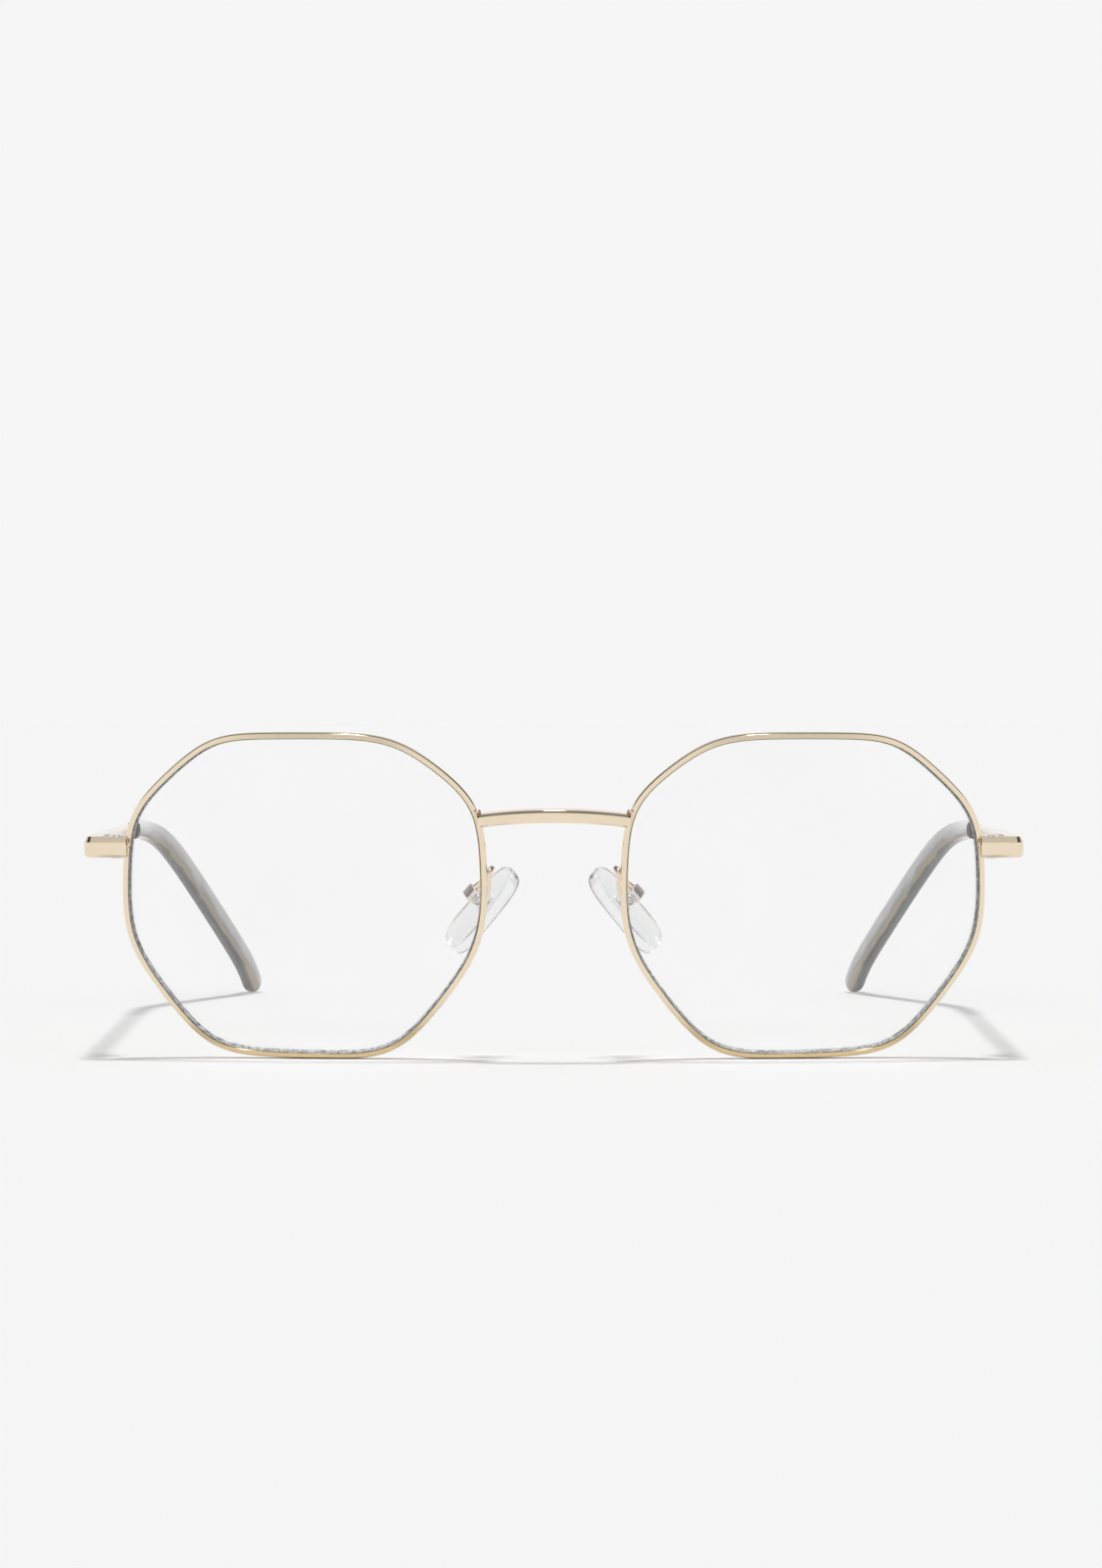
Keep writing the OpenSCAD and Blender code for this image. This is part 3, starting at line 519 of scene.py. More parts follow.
def smokyTip():
    # Smoke-grey plastic with a clearer mouth. Its outer lower side is painted dark and its inner upper side light,
    # painted shade and painted light as from a lamp above, with a tan streak between. "run" holds the length along
    # the sleeve, then the cosine and sine of the turn round it
    made, tree, shader = startMaterial("tipSmoke")
    run = runOf(tree)
    along, cosine, sine = axes(tree, run)
    stretched = node(tree, "ShaderNodeMapping", {"Vector": run, "Scale": tipLook["stretch"]}).outputs["Vector"]
    streaks = noise(tree, stretched, *tipLook["streaks"])
    # Painted shade and light: sine less cosine is high on the inner upper side and low on the outer lower side
    across = maths(tree, "MULTIPLY", maths(tree, "SUBTRACT", sine, cosine), tipLook["across"])
    wander = maths(tree, "MULTIPLY", maths(tree, "SUBTRACT", streaks, 0.5), tipLook["wander"])
    tone = ramp(tree, maths(tree, "ADD", maths(tree, "ADD", across, wander), 0.5), tipLook["tones"])
    tone = blended(tree, mapped(tree, along, *tipLook["mouth"]), tone, solid(tipLook["mouthTone"]))
    tone = blended(tree, mapped(tree, along, *tipLook["lip"]), tone, solid(tipLook["lipTone"]))
    peel = noise(tree, onPiece(tree), *tipLook["peel"])
    feed(tree, shader, {"Transmission Weight": tipLook["clear"], "IOR": tipLook["index"], "Base Color": tone,
                        "Roughness": spread(tree, streaks, *tipLook["rough"]),
                        "Normal": bumped(tree, peel, *tipLook["bump"])})
    letLightThrough(tree, shader, tipLook["shadow"])
    return made


# deep is the tone of the painted shade near the table in each metal
finishes = dict(
    gold=metal("paleGold", tone=(0.88, 0.76, 0.58), warm=(0.86, 0.7, 0.53), deep=(0.62, 0.47, 0.26),
               drift=0.35, gloss=0.06, haze=0.07, peel=0.06),
    braze=metal("rosyBraze", tone=(0.92, 0.79, 0.68), warm=(0.78, 0.5, 0.38), deep=(0.8, 0.6, 0.5),
                drift=0.6, gloss=0.07, haze=0.1, peel=0.25),
    rose=metal("roseSilver", tone=(0.92, 0.88, 0.86), warm=(0.86, 0.7, 0.64), deep=(0.8, 0.7, 0.66),
               drift=0.5, gloss=0.26, haze=0.12, peel=0.2),
    seam=metal("copperSeam", tone=(0.42, 0.2, 0.12), warm=(0.25, 0.1, 0.06), deep=(0.3, 0.15, 0.1),
               drift=0.7, gloss=0.15, haze=0.1, peel=0.3),
    insert=metal("insertSteel", tone=(0.93, 0.92, 0.91), warm=(0.85, 0.83, 0.82), deep=(0.8, 0.8, 0.8),
                 drift=0.4, gloss=0.2, haze=0.1, peel=0.1),
    steel=metal("screwSteel", tone=(0.72, 0.72, 0.73), warm=(0.6, 0.6, 0.6), deep=(0.6, 0.6, 0.6),
                drift=0.4, gloss=0.14, haze=0.1, peel=0.1),
    lens=clearLens(), ground=groundEdge(), pad=clearPad(), tip=smokyTip())
print("materials made:", len(finishes))

sharpAngle = 38  # an edge that turns further than this isn't smoothed


def putPiece(name, parts, finishNames, body, nodes):
    # Joins the parts into one mesh in world metres, rides it on its body and lets it stand for its nodes
    faces, start = [], 0
    for part in parts:
        faces += (part["quads"] + start).tolist() + [(cap + start).tolist() for cap in part["caps"]]
        start += len(part["points"])
    points, marks, run = (np.concatenate([part[key] for part in parts]) for key in ("points", "marks", "run"))
    mesh = bpy.data.meshes.new(name)
    mesh.from_pydata(points.tolist(), [], faces)
    mesh.polygons.foreach_set("material_index", marks.tolist())
    mesh.attributes.new("run", "FLOAT_VECTOR", "POINT").data.foreach_set("vector", run.ravel())
    mesh.polygons.foreach_set("use_smooth", np.ones(len(faces), bool))
    mesh.set_sharp_from_angle(angle=math.radians(sharpAngle))
    for finish in finishNames:
        mesh.materials.append(finishes[finish])
    mesh.update()
    piece = addObject(name, mesh)
    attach(piece, body)
    if nodes:
        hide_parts(*nodes)


def mirrored(part):  # the same shape with x negated and each face turned
    return dict(part, points=part["points"] * [-1, 1, 1], quads=part["quads"][:, ::-1],
                caps=[cap[::-1] for cap in part["caps"]])


def putPair(name, parts, finishNames, body, nodes):  # the parts are given for the left side
    for side, made in (("left", parts), ("right", [mirrored(part) for part in parts])):
        putPiece(name + side.capitalize(), made, finishNames, body.replace("SIDE", side),
                 [each + "_" + side for each in nodes])


def rimParts():  # the grooved section carried round the outline, from one side of the split to the other
    gap = rim["split"] / lens["width"] * 360 / math.pi
    turn = front["endTurn"] + gap / 2 + np.linspace(0, 1, rim["rows"] + 1) * (360 - gap)
    return [shell(onLean(wire(turn, softCorners(rimSection, rim["rounds"], rim["steps"], rim["hold"]))))]


def lensParts():
    # Rings from the middle to the edge over the front, round the bevel, and back over the rear: each is a share of
    # the outline, or the outline moved outwards, at its own depth behind the lens's curve
    turn = np.arange(lens["points"]) * 360 / lens["points"]
    start = rim["depth"] / 2 - lens["thick"] / 2
    edge = rim["groove"] - rim["width"] / 2 - lens["play"]
    foot = -rim["width"] / 2 - lens["clear"]
    soft, thick = lens["bevelEdge"], lens["thick"]
    bevel = [(foot - soft, 0.0), (foot, soft), (foot, lens["bevelFoot"] * thick), (edge, thick / 2),
             (foot, (1 - lens["bevelFoot"]) * thick), (foot, thick - soft), (foot - soft, thick)]
    p, n = outline(turn), outward(turn)
    face = [p * share for share in lens["rings"]]
    rings = face + [p + n * out for out, _ in bevel] + face[::-1]
    depths = [start] * len(face) + [start + depth for _, depth in bevel] + [start + thick] * len(face)
    loops = np.stack([onFront(ring, depth) for ring, depth in zip(rings, depths)])
    bands = [0] * len(face) + [1] * (len(bevel) - 1) + [0] * len(face)
    row = np.linspace(0, 1, len(loops))[:, None]
    run = stack(row, np.cos(np.radians(turn))[None], np.sin(np.radians(turn))[None])
    return [shell(onLean(loops), bands, run)]


putPair("rimWire", rimParts(), ["gold"], "front", ["rim"])
putPair("lensBlank", lensParts(), ["lens", "ground"], "front", ["lens"])
print("rims and lenses built")


def bridgeParts():
    # The section goes along an arch: z falls with f squared, and so does the bow to the front. At the ends it
    # shrinks on a quarter circle, so that they are rounded over
    half = bridgeEnd[0] + bridge["over"]
    section = softCorners(np.array(bridge["section"]) * [bridge["depth"], bridge["height"]], bridge["edge"])
    q = quarter(bridge["endSteps"])[:-1]
    fromEnd = bridge["endRound"] / half * (1 - np.cos(q))
    rounding = bridge["endRound"] * (1 - np.sin(q))
    middle = np.linspace(1, -1, bridge["rows"] + 1)[2:-2]
    f = np.concatenate([1 - fromEnd, middle, fromEnd[::-1] - 1])
    inset = np.concatenate([rounding, np.zeros(len(middle)), rounding[::-1]])
    along = unit(np.stack([np.full_like(f, half), -2 * f * bridge["rise"]], -1))
    fall = (1 - f * f)[:, None]
    shrink = 1 - inset[:, None] / (bridge["height"] / 2)
    deep, tall = section[None, :, 0] * shrink, section[None, :, 1] * shrink
    x = (f * half)[:, None] - along[:, 1:] * tall
    y = bridgeY - bridge["bow"] * fall + deep
    z = bridgeEnd[2] + bridge["rise"] * fall + along[:, :1] * tall
    return [shell(onLean(stack(x, y, z)))]


# Drops of solder: two at each end of the bridge, and one on top of each end piece's joint with the dark seam that
# runs down from it. A spot is counted from the place that its function names
solder = dict(ripple=0.06, sides=28, rows=16, poles=0.49,
              bridgeBack=2.2, bridgeSpot=[0.3, -0.15], bridgeSize=[0.55, 0.5, 0.32],
              rearSpot=[0.5, 0.9], rearSize=[0.35, 0.5, 0.8],
              endSpot=[0.1, 0.3, -0.04], endSize=[0.34, 0.3, 0.16],
              seamSpot=[-0.06, 0.02, 0.75], seamLean=0.6, seamSize=[0.09, 0.12, 0.42])


def drop(centre, size, place):  # an ellipsoid whose radius swells by ripple sin(3 a) sin(2 b)
    b = np.linspace(-solder["poles"] * np.pi, solder["poles"] * np.pi, solder["rows"])[:, None]
    a = allRound(solder["sides"])[None]
    r = 1 + solder["ripple"] * np.sin(3 * a) * np.sin(2 * b)
    p = stack(np.cos(b) * np.cos(a) * r, np.cos(b) * np.sin(a) * r, np.sin(b) * r)
    return shell(place(np.asarray(centre) + p * np.asarray(size)))


def bridgeDrops():  # where the upper rim meets the end of the bridge, and a flat one behind it
    spot = wire([front["bridgeTurn"] - solder["bridgeBack"]], [solder["bridgeSpot"]])[0, 0]
    rear = wire([front["bridgeTurn"]], [solder["rearSpot"]])[0, 0]
    return [drop(spot, solder["bridgeSize"], onLean), drop(rear, solder["rearSize"], onLean)]


def endDrop(spot, size):  # counted from the middle of the end piece's front face
    return [drop(np.array([endRoot[0], endY, endZ]) + spot, size, onStand)]


putPiece("bridgeBar", bridgeParts(), ["gold"], "front", ["bridge"])
putPair("bridgeBraze", bridgeDrops(), ["braze"], "front", [])
print("bridge built")


def endParts():
    # The bar is a walk of points seen from above: out from the rim, round the corner, back to the hinge, and home
    # along the inside. It is drawn for each (inset of the outer face, height), and each row leans with the front
    h, thick, inner, hold = end["height"] / 2, end["thick"], end["innerRound"], end["straight"]
    corners = [[end["lowRound"] + end["lowLip"], -h], [end["lowRound"], -h], [0, end["lowRound"] - h],
               [0, h - end["bevelHeight"]], [end["bevelDepth"], h], [end["bevelDepth"] + end["highLip"], h]]
    soft = softLine(corners, end["rounds"], 3, end["hold"])
    inset, up = soft[:, :1], soft[:, 1:]
    seat = np.array([end["seatGap"], -end["seatGap"]])
    rootIn = leaned(onFront(outline(front["endTurn"]) - [end["over"], 0], 0))[:2] + seat * [0, 1]
    rootOut = leaned(onFront(outline(front["endTurn"]) + [rim["width"] / 2, 0], 0))[:2] + seat
    a, b = quarter(end["cornerSteps"])[None], quarter(end["innerSteps"])[None]
    radius = end["corner"] - inset
    turnX, turnY = endX - end["corner"], endY + end["corner"]
    innerX, innerY = endX - thick - inner, endY + thick + inner
    tail = hingeY - hinge["gap"] / 2
    walk = [(rootIn[0], endY + inset), (turnX - hold, endY + inset),
            (turnX + radius * np.sin(a), turnY - radius * np.cos(a)), (endX - inset, turnY + hold),
            (endX - inset, tail), (endX - thick, tail),
            (innerX + inner * np.cos(b), innerY - inner * np.sin(b)), (rootOut[0], endY + thick),
            (rootOut[0], rootOut[1]), (rootIn[0], rootIn[1])]
    x, y = (np.concatenate([step[k] + 0 * inset for step in walk], 1) for k in (0, 1))
    return [shell(onStand(stack(x, y - up * math.tan(tilt), endZ + up)))]


seamAt = np.array(solder["seamSpot"]) - [0, solder["seamLean"] * math.tan(tilt), 0]
dropAt = np.array(solder["endSpot"]) + [0, 0, end["height"] / 2]
putPair("endBar", endParts(), ["gold"], "front", ["endpiece"])
putPair("endBraze", endDrop(dropAt, solder["endSize"]), ["braze"], "front", [])
putPair("endSeam", endDrop(seamAt, solder["seamSize"]), ["seam"], "front", [])

# Two blocks stand on the split ends of the rim, and a screw from below pulls them together
closing = dict(width=2.1, depth=1.9, height=1.25, screw=0.6, head=0.95, headHeight=0.5, slot=0.3, edge=0.1,
               inner=0.2, corner=0.2, foot=0.04, footRound=0.12)
blockY = splitAt[1] + (end["thick"] - end["proud"]) * math.cos(tilt)
blockEnd = splitAt[0] + rim["width"] / 2 + closing["width"]
screwAt = np.array([blockEnd - closing["width"] / 2, blockY + closing["depth"] / 2, splitAt[2]])


def blockParts(way, gap):  # a rounded rectangle given height, above the split (way 1) or below it (way -1)
    low, high = sorted([way * rim["split"] / 2, way * (rim["split"] / 2 + closing["height"])])
    shape = rectangle(splitAt[0] + closing["inner"], blockEnd, blockY + gap, blockY + closing["depth"],
                      closing["corner"])
    return [plate(shape, splitAt[2] + low, splitAt[2] + high, closing["edge"], onLean)]


def closingScrewParts():  # the slot faces down, so the screw is built upside down in its own frame
    low = -rim["split"] / 2 - closing["height"]
    length = 2 * closing["height"] + rim["split"]

    def place(p):
        return onLean(stack(p[..., 0], -p[..., 1], -p[..., 2]) + screwAt + [0, 0, low])
    return slottedScrew(closing["screw"], -length - closing["foot"], closing["footRound"], closing["head"], 0,
                        closing["headHeight"], closing["slot"], place)


putPair("blockUpper", blockParts(1, 0), ["gold"], "front", ["closing_block_upper"])
putPair("blockLower", blockParts(-1, hinge["gap"]), ["gold"], "front", ["closing_block_lower"])
putPair("closingScrew", closingScrewParts(), ["steel"], "front", ["closing_screw"])
print("end pieces and closing blocks built")


def knuckle(low, high, way):  # a circle run out into a foot that stands on the leaf
    r, gap = hinge["barrel"], hinge["gap"] / 2
    reach = hinge["leaf"] + hinge["gap"] + r
    circle = arc(r, np.linspace(-0.5 * np.pi, -2 * np.pi - math.asin(gap / r), hinge["points"]))
    shape = np.concatenate([circle, [[reach, -gap], [reach, -r]]]) * [1, -way]
    return plate(shape, low, high, hinge["bevel"], onHinge)


def leaf(start, stop):  # a level strip whose ends lean with the screw: they move by height x the tilt's tangent
    up = end["height"] / 2 - hinge["gap"]
    lean = up * math.tan(tilt)
    corners = [[start + lean, -up], [stop + lean, -up], [stop - lean, up], [start - lean, up]]

    def place(p):
        return onStand(endways(p) + [hingeX + hinge["barrel"] + hinge["gap"], hingeY, endZ])
    return plate(softCorners(corners, hinge["leafRound"]), 0, hinge["leaf"], hinge["leafBevel"], place)


def hingeParts():  # three knuckles share the height: the front has the outer two and the temple the middle one
    h, gap = end["height"] / 2, hinge["gap"] / 2
    ofFront = [knuckle(h / 3 + gap, h - hinge["topDrop"], -1), knuckle(-h, -h / 3 - gap, -1),
               leaf(-hinge["frontLeaf"], -gap)]
    ofTemple = [knuckle(gap - h / 3, h / 3 - gap, 1), leaf(gap, hinge["templeLeaf"])]
    screw = slottedScrew(hinge["screw"], -h - hinge["screwFoot"], hinge["screwRound"], hinge["head"],
                         h - hinge["headHeight"], h, hinge["slot"], onHinge)
    return ofFront, ofTemple, screw


frontHinge, templeHinge, hingeScrew = hingeParts()
putPair("hingeFront", frontHinge, ["gold"], "front", ["hinge_front"])
putPair("hingeTemple", templeHinge, ["gold"], "temple_SIDE", ["hinge_temple"])
putPair("hingeScrew", hingeScrew, ["steel"], "front", ["hinge_screw"])
print("hinges built")


def ease(q, soft):  # a ramp with a rounded foot: half of q + sqrt(q^2 + soft^2)
    return (q + np.sqrt(q * q + soft * soft)) / 2


def bentShare(y, start, soft):  # 0 at the hinge and 1 at the temple's end, and it rises from start on
    full = ease(temple["reach"] - start, soft) - ease(-start, soft)
    return (ease(y - start, soft) - ease(-start, soft)) / full


templeDrop = standZ + endZ - tip["endHeight"] * tip["rest"]
tipTurn = temple["turnIn"] + temple["spread"] * (temple["reach"] / temple["turn"] - 1)


def templeAt(y):
    # Straight back, then down behind the ear and inwards: each is a ramp with a rounded foot
    x = endX - end["thick"] / 2 + temple["spread"] * y / temple["turn"]
    x = x - tipTurn * bentShare(y, temple["turn"], temple["turnSoft"])
    x = x + temple["straightOut"] * bentShare(y, temple["reach"] - temple["straight"], temple["straightSoft"])
    return stack(x, hingeY + y, endZ - templeDrop * bentShare(y, temple["bend"], temple["bendSoft"]))


def around(y, halfThick, halfHigh, k, sides):
    # A superellipse of power k, square to the path and upright
    way = unit(templeAt(y + 0.5) - templeAt(y - 0.5))
    side = unit(stack(way[:, 1], -way[:, 0], 0.0))
    up = np.cross(side, way)
    across, high = rounded(allRound(sides, 0.5)[None], np.asarray(k, float)[:, None])
    halfThick, halfHigh = halfThick - temple["shy"], halfHigh - temple["shy"]
    return (templeAt(y)[:, None] + side[:, None] * (across * halfThick[:, None])[..., None]
            + up[:, None] * (high * halfHigh[:, None])[..., None])


def coreShare(y):  # 0 where the temple is a flat bar, 1 where it is a round wire in the sleeve
    return smooth((y - tip["start"]) / temple["coreBlend"])


def barParts():  # a boxy section that tapers to the sleeve and turns into the round core wire
    rest = np.linspace(temple["buttEnd"], temple["reach"] - temple["coreShort"], temple["rows"])
    f = np.concatenate([temple["butt"], rest])
    taper, core = smooth(f / tip["start"]), coreShare(f)
    thick = mix(mix(end["thick"], temple["thick"], taper) / 2, temple["core"], core)
    high = mix(mix(end["height"], temple["height"], taper) / 2, temple["core"], core)
    loops = around(f, thick, high, mix(temple["barBox"], 2.0, core), temple["sides"])
    lean = np.clip(1 - (f - f[0]) / temple["buttEnd"], 0, 1)[:, None]  # the butt lies along the hinge screw
    loops[..., 1] -= (loops[..., 2] - endZ) * math.tan(tilt) * lean
    return [shell(onStand(loops))]


def sleeveParts():
    # The outside swells towards the rear, and its mouth and its end are quarter rounds; the bore follows the wire
    start, mouth, endHalf = tip["start"], tip["mouth"], tip["endHeight"] / 2
    body = temple["reach"] - endHalf
    q = quarter(tip["mouthSteps"])[1:-1]
    ahead, closeIn = (np.linspace(0, tip[key] * np.pi, tip["endSteps"])[1:] for key in ("endTurn", "endShrink"))
    f = np.concatenate([start + mouth * (1 - np.cos(q)), np.linspace(start + mouth, body, tip["rows"]),
                        body + endHalf * np.sin(ahead)])
    share = np.concatenate([1 - mouth / tip["height"] * 2 * (1 - np.sin(q)), np.ones(tip["rows"]),
                            np.cos(closeIn)])
    swell = smooth((f - start) / (temple["reach"] - start) / tip["swell"])
    thick = mix(tip["thick"], tip["endThick"], swell) / 2 * share
    high = mix(tip["height"], tip["endHeight"], swell) / 2 * share
    outer = around(f, thick, high, np.full_like(f, tip["box"]), tip["sides"])
    g = np.linspace(temple["reach"] - temple["coreShort"] + 1, start, tip["boreRows"])
    core = coreShare(g)
    inner = around(g, mix(temple["thick"] / 2, temple["core"], core) + tip["bore"],
                   mix(temple["height"] / 2, temple["core"], core) + tip["bore"],
                   mix(temple["barBox"], 2.0, core), tip["sides"])
    turn = allRound(tip["sides"])[None]
    run = stack(np.concatenate([g, f])[:, None], np.cos(turn), np.sin(turn))
    return [shell(onStand(np.concatenate([inner, outer])), run=run)]


putPair("templeBar", barParts(), ["gold"], "temple_SIDE", ["temple"])
putPair("tipSleeve", sleeveParts(), ["tip"], "temple_SIDE", ["temple_tip"])
print("temples built")

# Nose pads. A pad's own frame has its thickness along x, its width along y and its length along z
pad = dict(length=14.2, width=6.8, thick=2.3, at=[11.2, 7.3, -0.85], lean=40.0, splay=24.0, eye=0.85,
           gap=0.6, low=1.05, taper=0.1, box=3.4, sides=96, rows=34,
           profile=[[0.44, 0.62], [0.5, 0.8], [0.38, 0.94], [0.12, 1], [-0.14, 0.97], [-0.32, 0.86],
                    [-0.44, 0.66], [-0.5, 0.36]])
mount = dict(eye=1.1, eyeEdge=0.1, length=3.0, width=2.2, thick=0.5, corner=0.6, bevel=0.1, stem=1.0,
             stemIn=0.1, stemStop=-0.3, stemCorner=0.1, stemBevel=0.08)
cradle = dict(ear=0.5, web=0.5, corner=0.55, bevel=0.22, webCorner=0.18, webBevel=0.16, webShy=0.05,
              points=25, earSteps=5, webSteps=4)
padScrew = dict(radius=0.5, foot=0.03, footRound=0.08, head=0.85, slot=0.21, buttonIn=0.36, buttonLow=0.13,
                buttonHigh=0.37, buttonEdge=0.05, sides=48,
                ring=[[0.05, 0], [0, 0.05], [0, 0.3], [0.07, 0.4], [0.2, 0.4], [0.26, 0.32], [0.27, 0.14]])
padOff = pad["thick"] / 2 + pad["eye"] + pad["gap"]
boxRound = pad["eye"] + hinge["gap"]
boxReach = boxRound + cradle["web"]
boxInside = mount["eye"] / 2 + hinge["gap"]
boxSide = boxInside + cradle["ear"]


def turnedPad(p):  # turned about z by the splay, then about y by the lean
    s, c = math.sin(math.radians(pad["splay"])), math.cos(math.radians(pad["splay"]))
    x, y, z = p[..., 0] * c + p[..., 1] * s, p[..., 1] * c - p[..., 0] * s, p[..., 2]
    s, c = math.sin(math.radians(pad["lean"])), math.cos(math.radians(pad["lean"]))
    return stack(x * c - z * s, y, x * s + z * c)


def onPad(p):  # from the pad's own frame to world metres
    return onLean(turnedPad(p) + pad["at"])


def throughPad(p):  # local z becomes the pad's -y, along the screw
    return onPad(stack(p[..., 0], -p[..., 2], p[..., 1]))


def intoPad(p):  # local z goes through the pad's thickness
    return onPad(endways(p))


def curveThrough(points, count):
    # A cubic for each stretch, which leaves and arrives along the line between the neighbours of its ends
    p = np.asarray(points, float)
    p = np.concatenate([[2 * p[0] - p[1]], p, [2 * p[-1] - p[-2]]])
    t = np.linspace(0, len(p) - 3 - 1e-6, count)
    i = t.astype(int)
    u = (t - i)[:, None]
    a, b, c, d = p[i], p[i + 1], p[i + 2], p[i + 3]
    return 0.5 * (2 * b + (c - a) * u + (2 * a - 5 * b + 4 * c - d) * u ** 2 + (3 * b - a - 3 * c + d) * u ** 3)


def padParts():
    # The outline is a superellipse, narrower at the top, and each row through the thickness is a share of it
    rows = curveThrough(pad["profile"], pad["rows"])
    depth, share = rows[:, :1], rows[:, 1:]
    across, along = rounded(allRound(pad["sides"])[None], pad["box"])
    width, length = pad["width"], pad["length"]
    y = across * (1 - pad["taper"] * along) * width / 2 * share
    z = along * length / 2 * (1 - (1 - share) * width / length) - pad["low"]
    return [shell(onPad(stack(depth * pad["thick"] - padOff, y, z)))]


def mountParts():  # a flat insert in the pad, a neck, and the eye that the screw goes through
    width, length, neck, eye = mount["width"] / 2, mount["length"] / 2, mount["stem"] / 2, mount["eye"] / 2
    low = -padOff - mount["thick"] / 2
    insert = plate(rectangle(-width, width, -length, length, mount["corner"]), low, low + mount["thick"],
                   mount["bevel"], intoPad)
    stem = plate(rectangle(-eye, eye, -neck, neck, mount["stemCorner"]), low + mount["stemIn"],
                 mount["stemStop"], mount["stemBevel"], intoPad)
    return [insert, stem, pin(pad["eye"], -eye, eye, throughPad, mount["eyeEdge"])]


def boxParts():  # two ears, each a half round run out to the web, and the web between them
    r = boxRound
    outer = softLine([[0, -r], [boxReach, -r], [boxReach, r], [0, r]], cradle["corner"])
    ear = np.concatenate([arc(r, np.linspace(0.5 * np.pi, 1.5 * np.pi, cradle["points"])), outer])
    web = rectangle(r, boxReach, -r, r, cradle["webCorner"])
    webSide = boxSide - cradle["webShy"]
    return [plate(ear, boxInside, boxSide, cradle["bevel"], throughPad, cradle["earSteps"]),
            plate(ear, -boxSide, -boxInside, cradle["bevel"], throughPad, cradle["earSteps"]),
            plate(web, -webSide, webSide, cradle["webBevel"], throughPad, cradle["webSteps"])]


def padScrewParts():  # the head is a turned ring with a slotted button inside it
    top, head = boxSide, padScrew["head"]
    ring = np.array(padScrew["ring"]) * [-1, 1] + [head, top]
    return [pin(padScrew["radius"], -top - padScrew["foot"], top + screwCut["sunk"], throughPad,
                padScrew["footRound"]), lathe(ring, throughPad, padScrew["sides"])] + slottedHead(
        head - padScrew["buttonIn"], top + padScrew["buttonLow"], top + padScrew["buttonHigh"],
        padScrew["slot"], throughPad, padScrew["buttonEdge"])


arm = dict(wire=0.45, foot=3.0, footUp=0.2, out=0.65, bowIn=1.5, bowUp=2.0, bowBack=1.5, endIn=1.6, endUp=0.9,
           footRows=12, rows=70, sides=24, tipShares=[0.35, 0.7, 0.88, 0.97])


def armParts():
    # A straight foot on the rim, then a cubic bow into the box. Its section is a circle square to the path
    foot = onFront(outline(front["armTurn"]) + outward(front["armTurn"]) * arm["out"], rim["depth"])
    top = foot + [0, 0, arm["footUp"] + arm["foot"] / 2]
    low = foot + [0, 0, arm["footUp"] - arm["foot"] / 2]
    last = np.array(pad["at"]) + turnedPad(np.array([boxReach - arm["wire"], 0, boxRound]))
    pull = last + [-arm["endIn"], 0, arm["endUp"]]
    bow = top + [-arm["bowIn"], arm["bowBack"], arm["bowUp"]]
    t = np.linspace(0, 1, arm["rows"])[:, None]
    curve = (1 - t) ** 3 * top + 3 * (1 - t) ** 2 * t * bow + 3 * (1 - t) * t ** 2 * pull + t ** 3 * last
    q = np.linspace(0, 1, arm["footRows"])[:-1, None]
    path = np.concatenate([low + (top - low) * q, curve])
    radius = np.full(len(path), arm["wire"])
    radius[:len(arm["tipShares"])] *= arm["tipShares"]
    way = unit(np.gradient(path, axis=0))
    side = unit(np.cross(way, [1.0, 0.0, 0.0]))
    up = np.cross(side, way)
    a = allRound(arm["sides"])[None, :, None]
    loops = path[:, None] + radius[:, None, None] * (side[:, None] * np.cos(a) + up[:, None] * np.sin(a))
    return [shell(onLean(loops))]


putPair("noseCushion", padParts(), ["pad"], "pad_SIDE", ["nose_pad"])
putPair("padInsert", mountParts(), ["insert"], "pad_SIDE", ["pad_mount"])
putPair("padCradle", boxParts(), ["rose"], "front", ["pad_box"])
putPair("padScrewHead", padScrewParts(), ["steel"], "front", ["pad_screw"])
putPair("padArm", armParts(), ["braze"], "front", ["pad_arm"])
print("pads built")

# The stage: sizes in metres, tones from 0 to 1, and the air's stops are (height of the direction, grey)
floor = dict(size=6.0, tone=0.92, rough=0.9)
sun = dict(share=0.51, back=2.0, spread=7.0)
air = dict(white=0.922, level=0.487, brow=0.68, browAhead=[-0.97, -0.9, 1.0, 0.0], browUp=[0.08, 0.22, 1.0, 0.0],
           sideToEnds=[0.25, 0.75],
           side=[[0, 0.93], [0.3, 0.93], [0.42, 0.04], [0.68, 0.03], [0.84, 0.24], [1, 0.24]],
           ends=[[0, 0.93], [0.3, 0.93], [0.5, 0.66], [0.72, 0.56], [0.86, 0.24], [1, 0.24]])


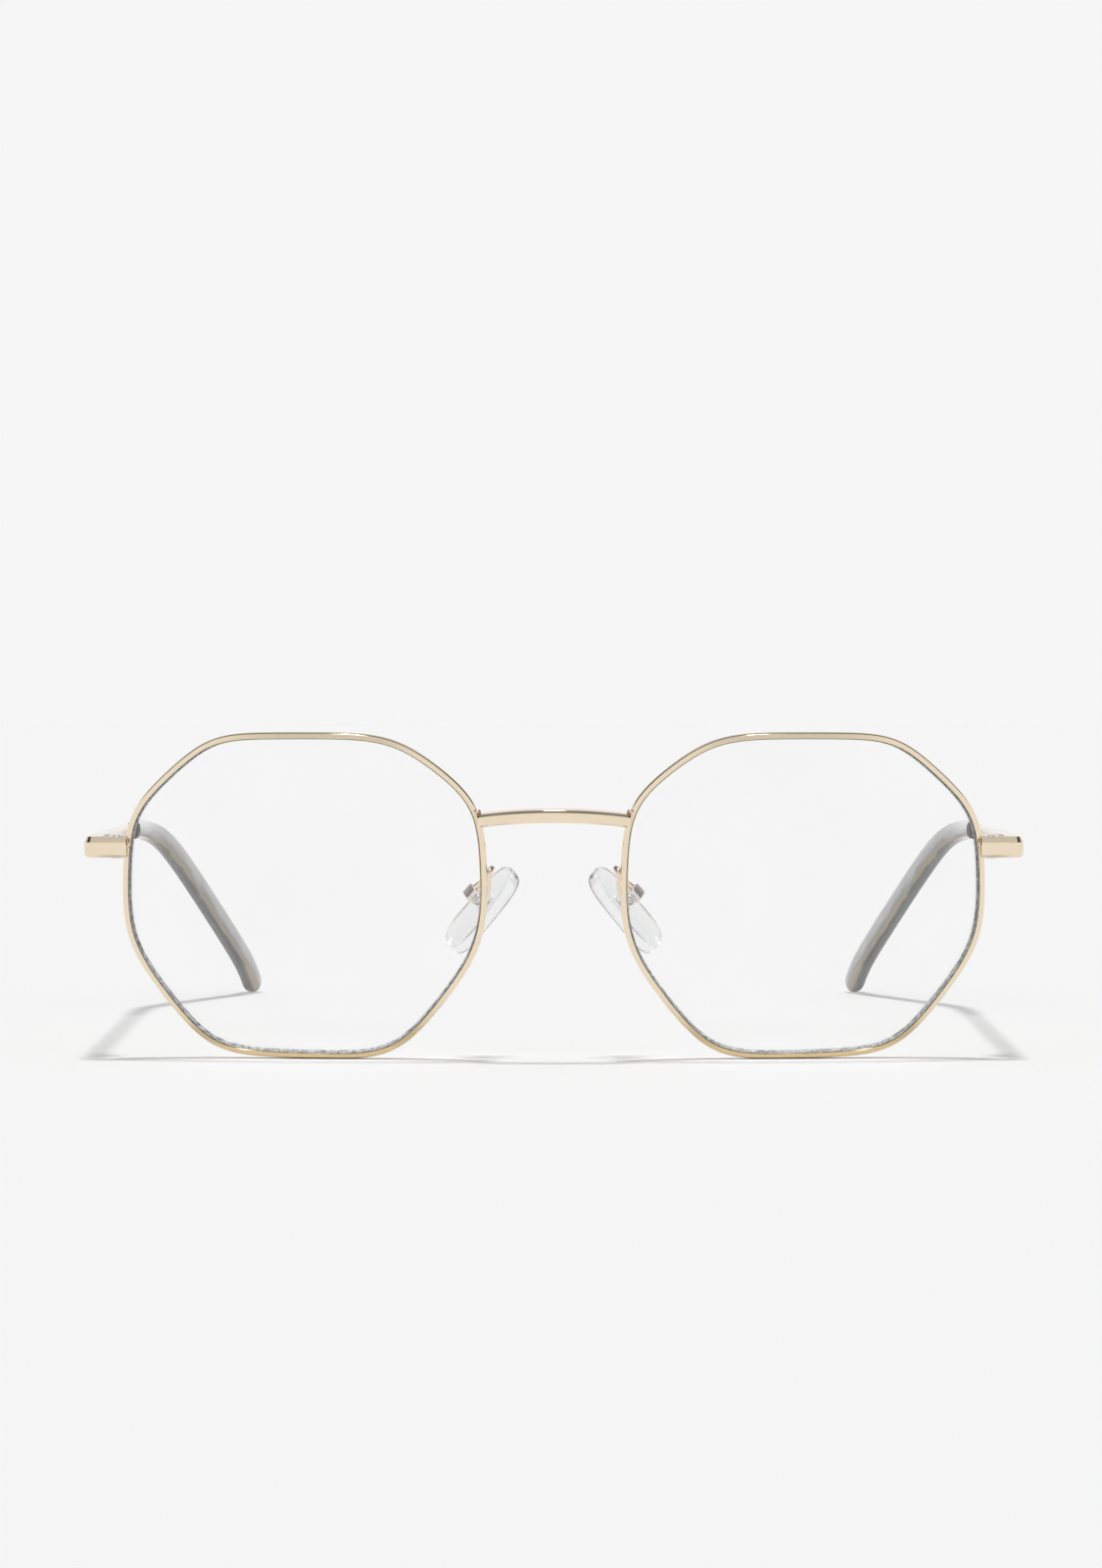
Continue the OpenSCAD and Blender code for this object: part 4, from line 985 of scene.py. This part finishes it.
def layFloor():
    s = floor["size"]
    sheet = bpy.data.meshes.new("floor")
    sheet.from_pydata([(-s, -s, 0), (s, -s, 0), (s, s, 0), (-s, s, 0)], [], [(0, 1, 2, 3)])
    paper, tree, shader = startMaterial("paleFloor")
    feed(tree, shader, {"Specular IOR Level": 0.0, "Roughness": floor["rough"],
                        "Base Color": solid(floor["tone"])})
    sheet.materials.append(paper)
    addObject("floor", sheet)


def hangLamp():  # a far lamp a little behind the zenith; the division keeps its light on the floor the same
    lamp = bpy.data.lights.new("lamp", "SUN")
    lamp.energy = sun["share"] * math.pi / math.cos(math.radians(sun["back"]))
    lamp.angle = math.radians(sun["spread"])
    addObject("lamp", lamp).rotation_euler = (math.radians(sun["back"]), 0, 0)


def paintAir():
    # What the metal sees goes by height: bright up to a brim, dark above it at the sides, half dark in front and
    # behind. The two are mixed by y^2 / (1 - z^2). The camera and what is seen through glass get plain white
    world = bpy.data.worlds.new("studio")
    world.use_nodes = True
    bpy.context.scene.world = world
    tree = world.node_tree
    _, ahead, up = axes(tree, node(tree, "ShaderNodeTexCoord").outputs["Generated"])
    level = maths(tree, "SUBTRACT", 1.0001, maths(tree, "MULTIPLY", up, up))
    facing = maths(tree, "DIVIDE", maths(tree, "MULTIPLY", ahead, ahead), level)
    metalSees = blended(tree, mapped(tree, facing, *air["sideToEnds"]), ramp(tree, up, air["side"]),
                        ramp(tree, up, air["ends"]))
    # Straight in front, where the camera stands, the horizon is darker
    brow = maths(tree, "MULTIPLY", mapped(tree, ahead, *air["browAhead"]), mapped(tree, up, *air["browUp"]))
    metalSees = blended(tree, brow, metalSees, solid(air["brow"]))
    path = node(tree, "ShaderNodeLightPath").outputs
    light = blended(tree, path["Is Glossy Ray"], solid(air["level"]), metalSees)
    seen = maths(tree, "MAXIMUM", path["Is Camera Ray"], path["Is Transmission Ray"])
    feed(tree, tree.nodes["Background"], {"Color": blended(tree, seen, light, solid(air["white"]))})


layFloor()
hangLamp()
paintAir()
print("stage and light set")
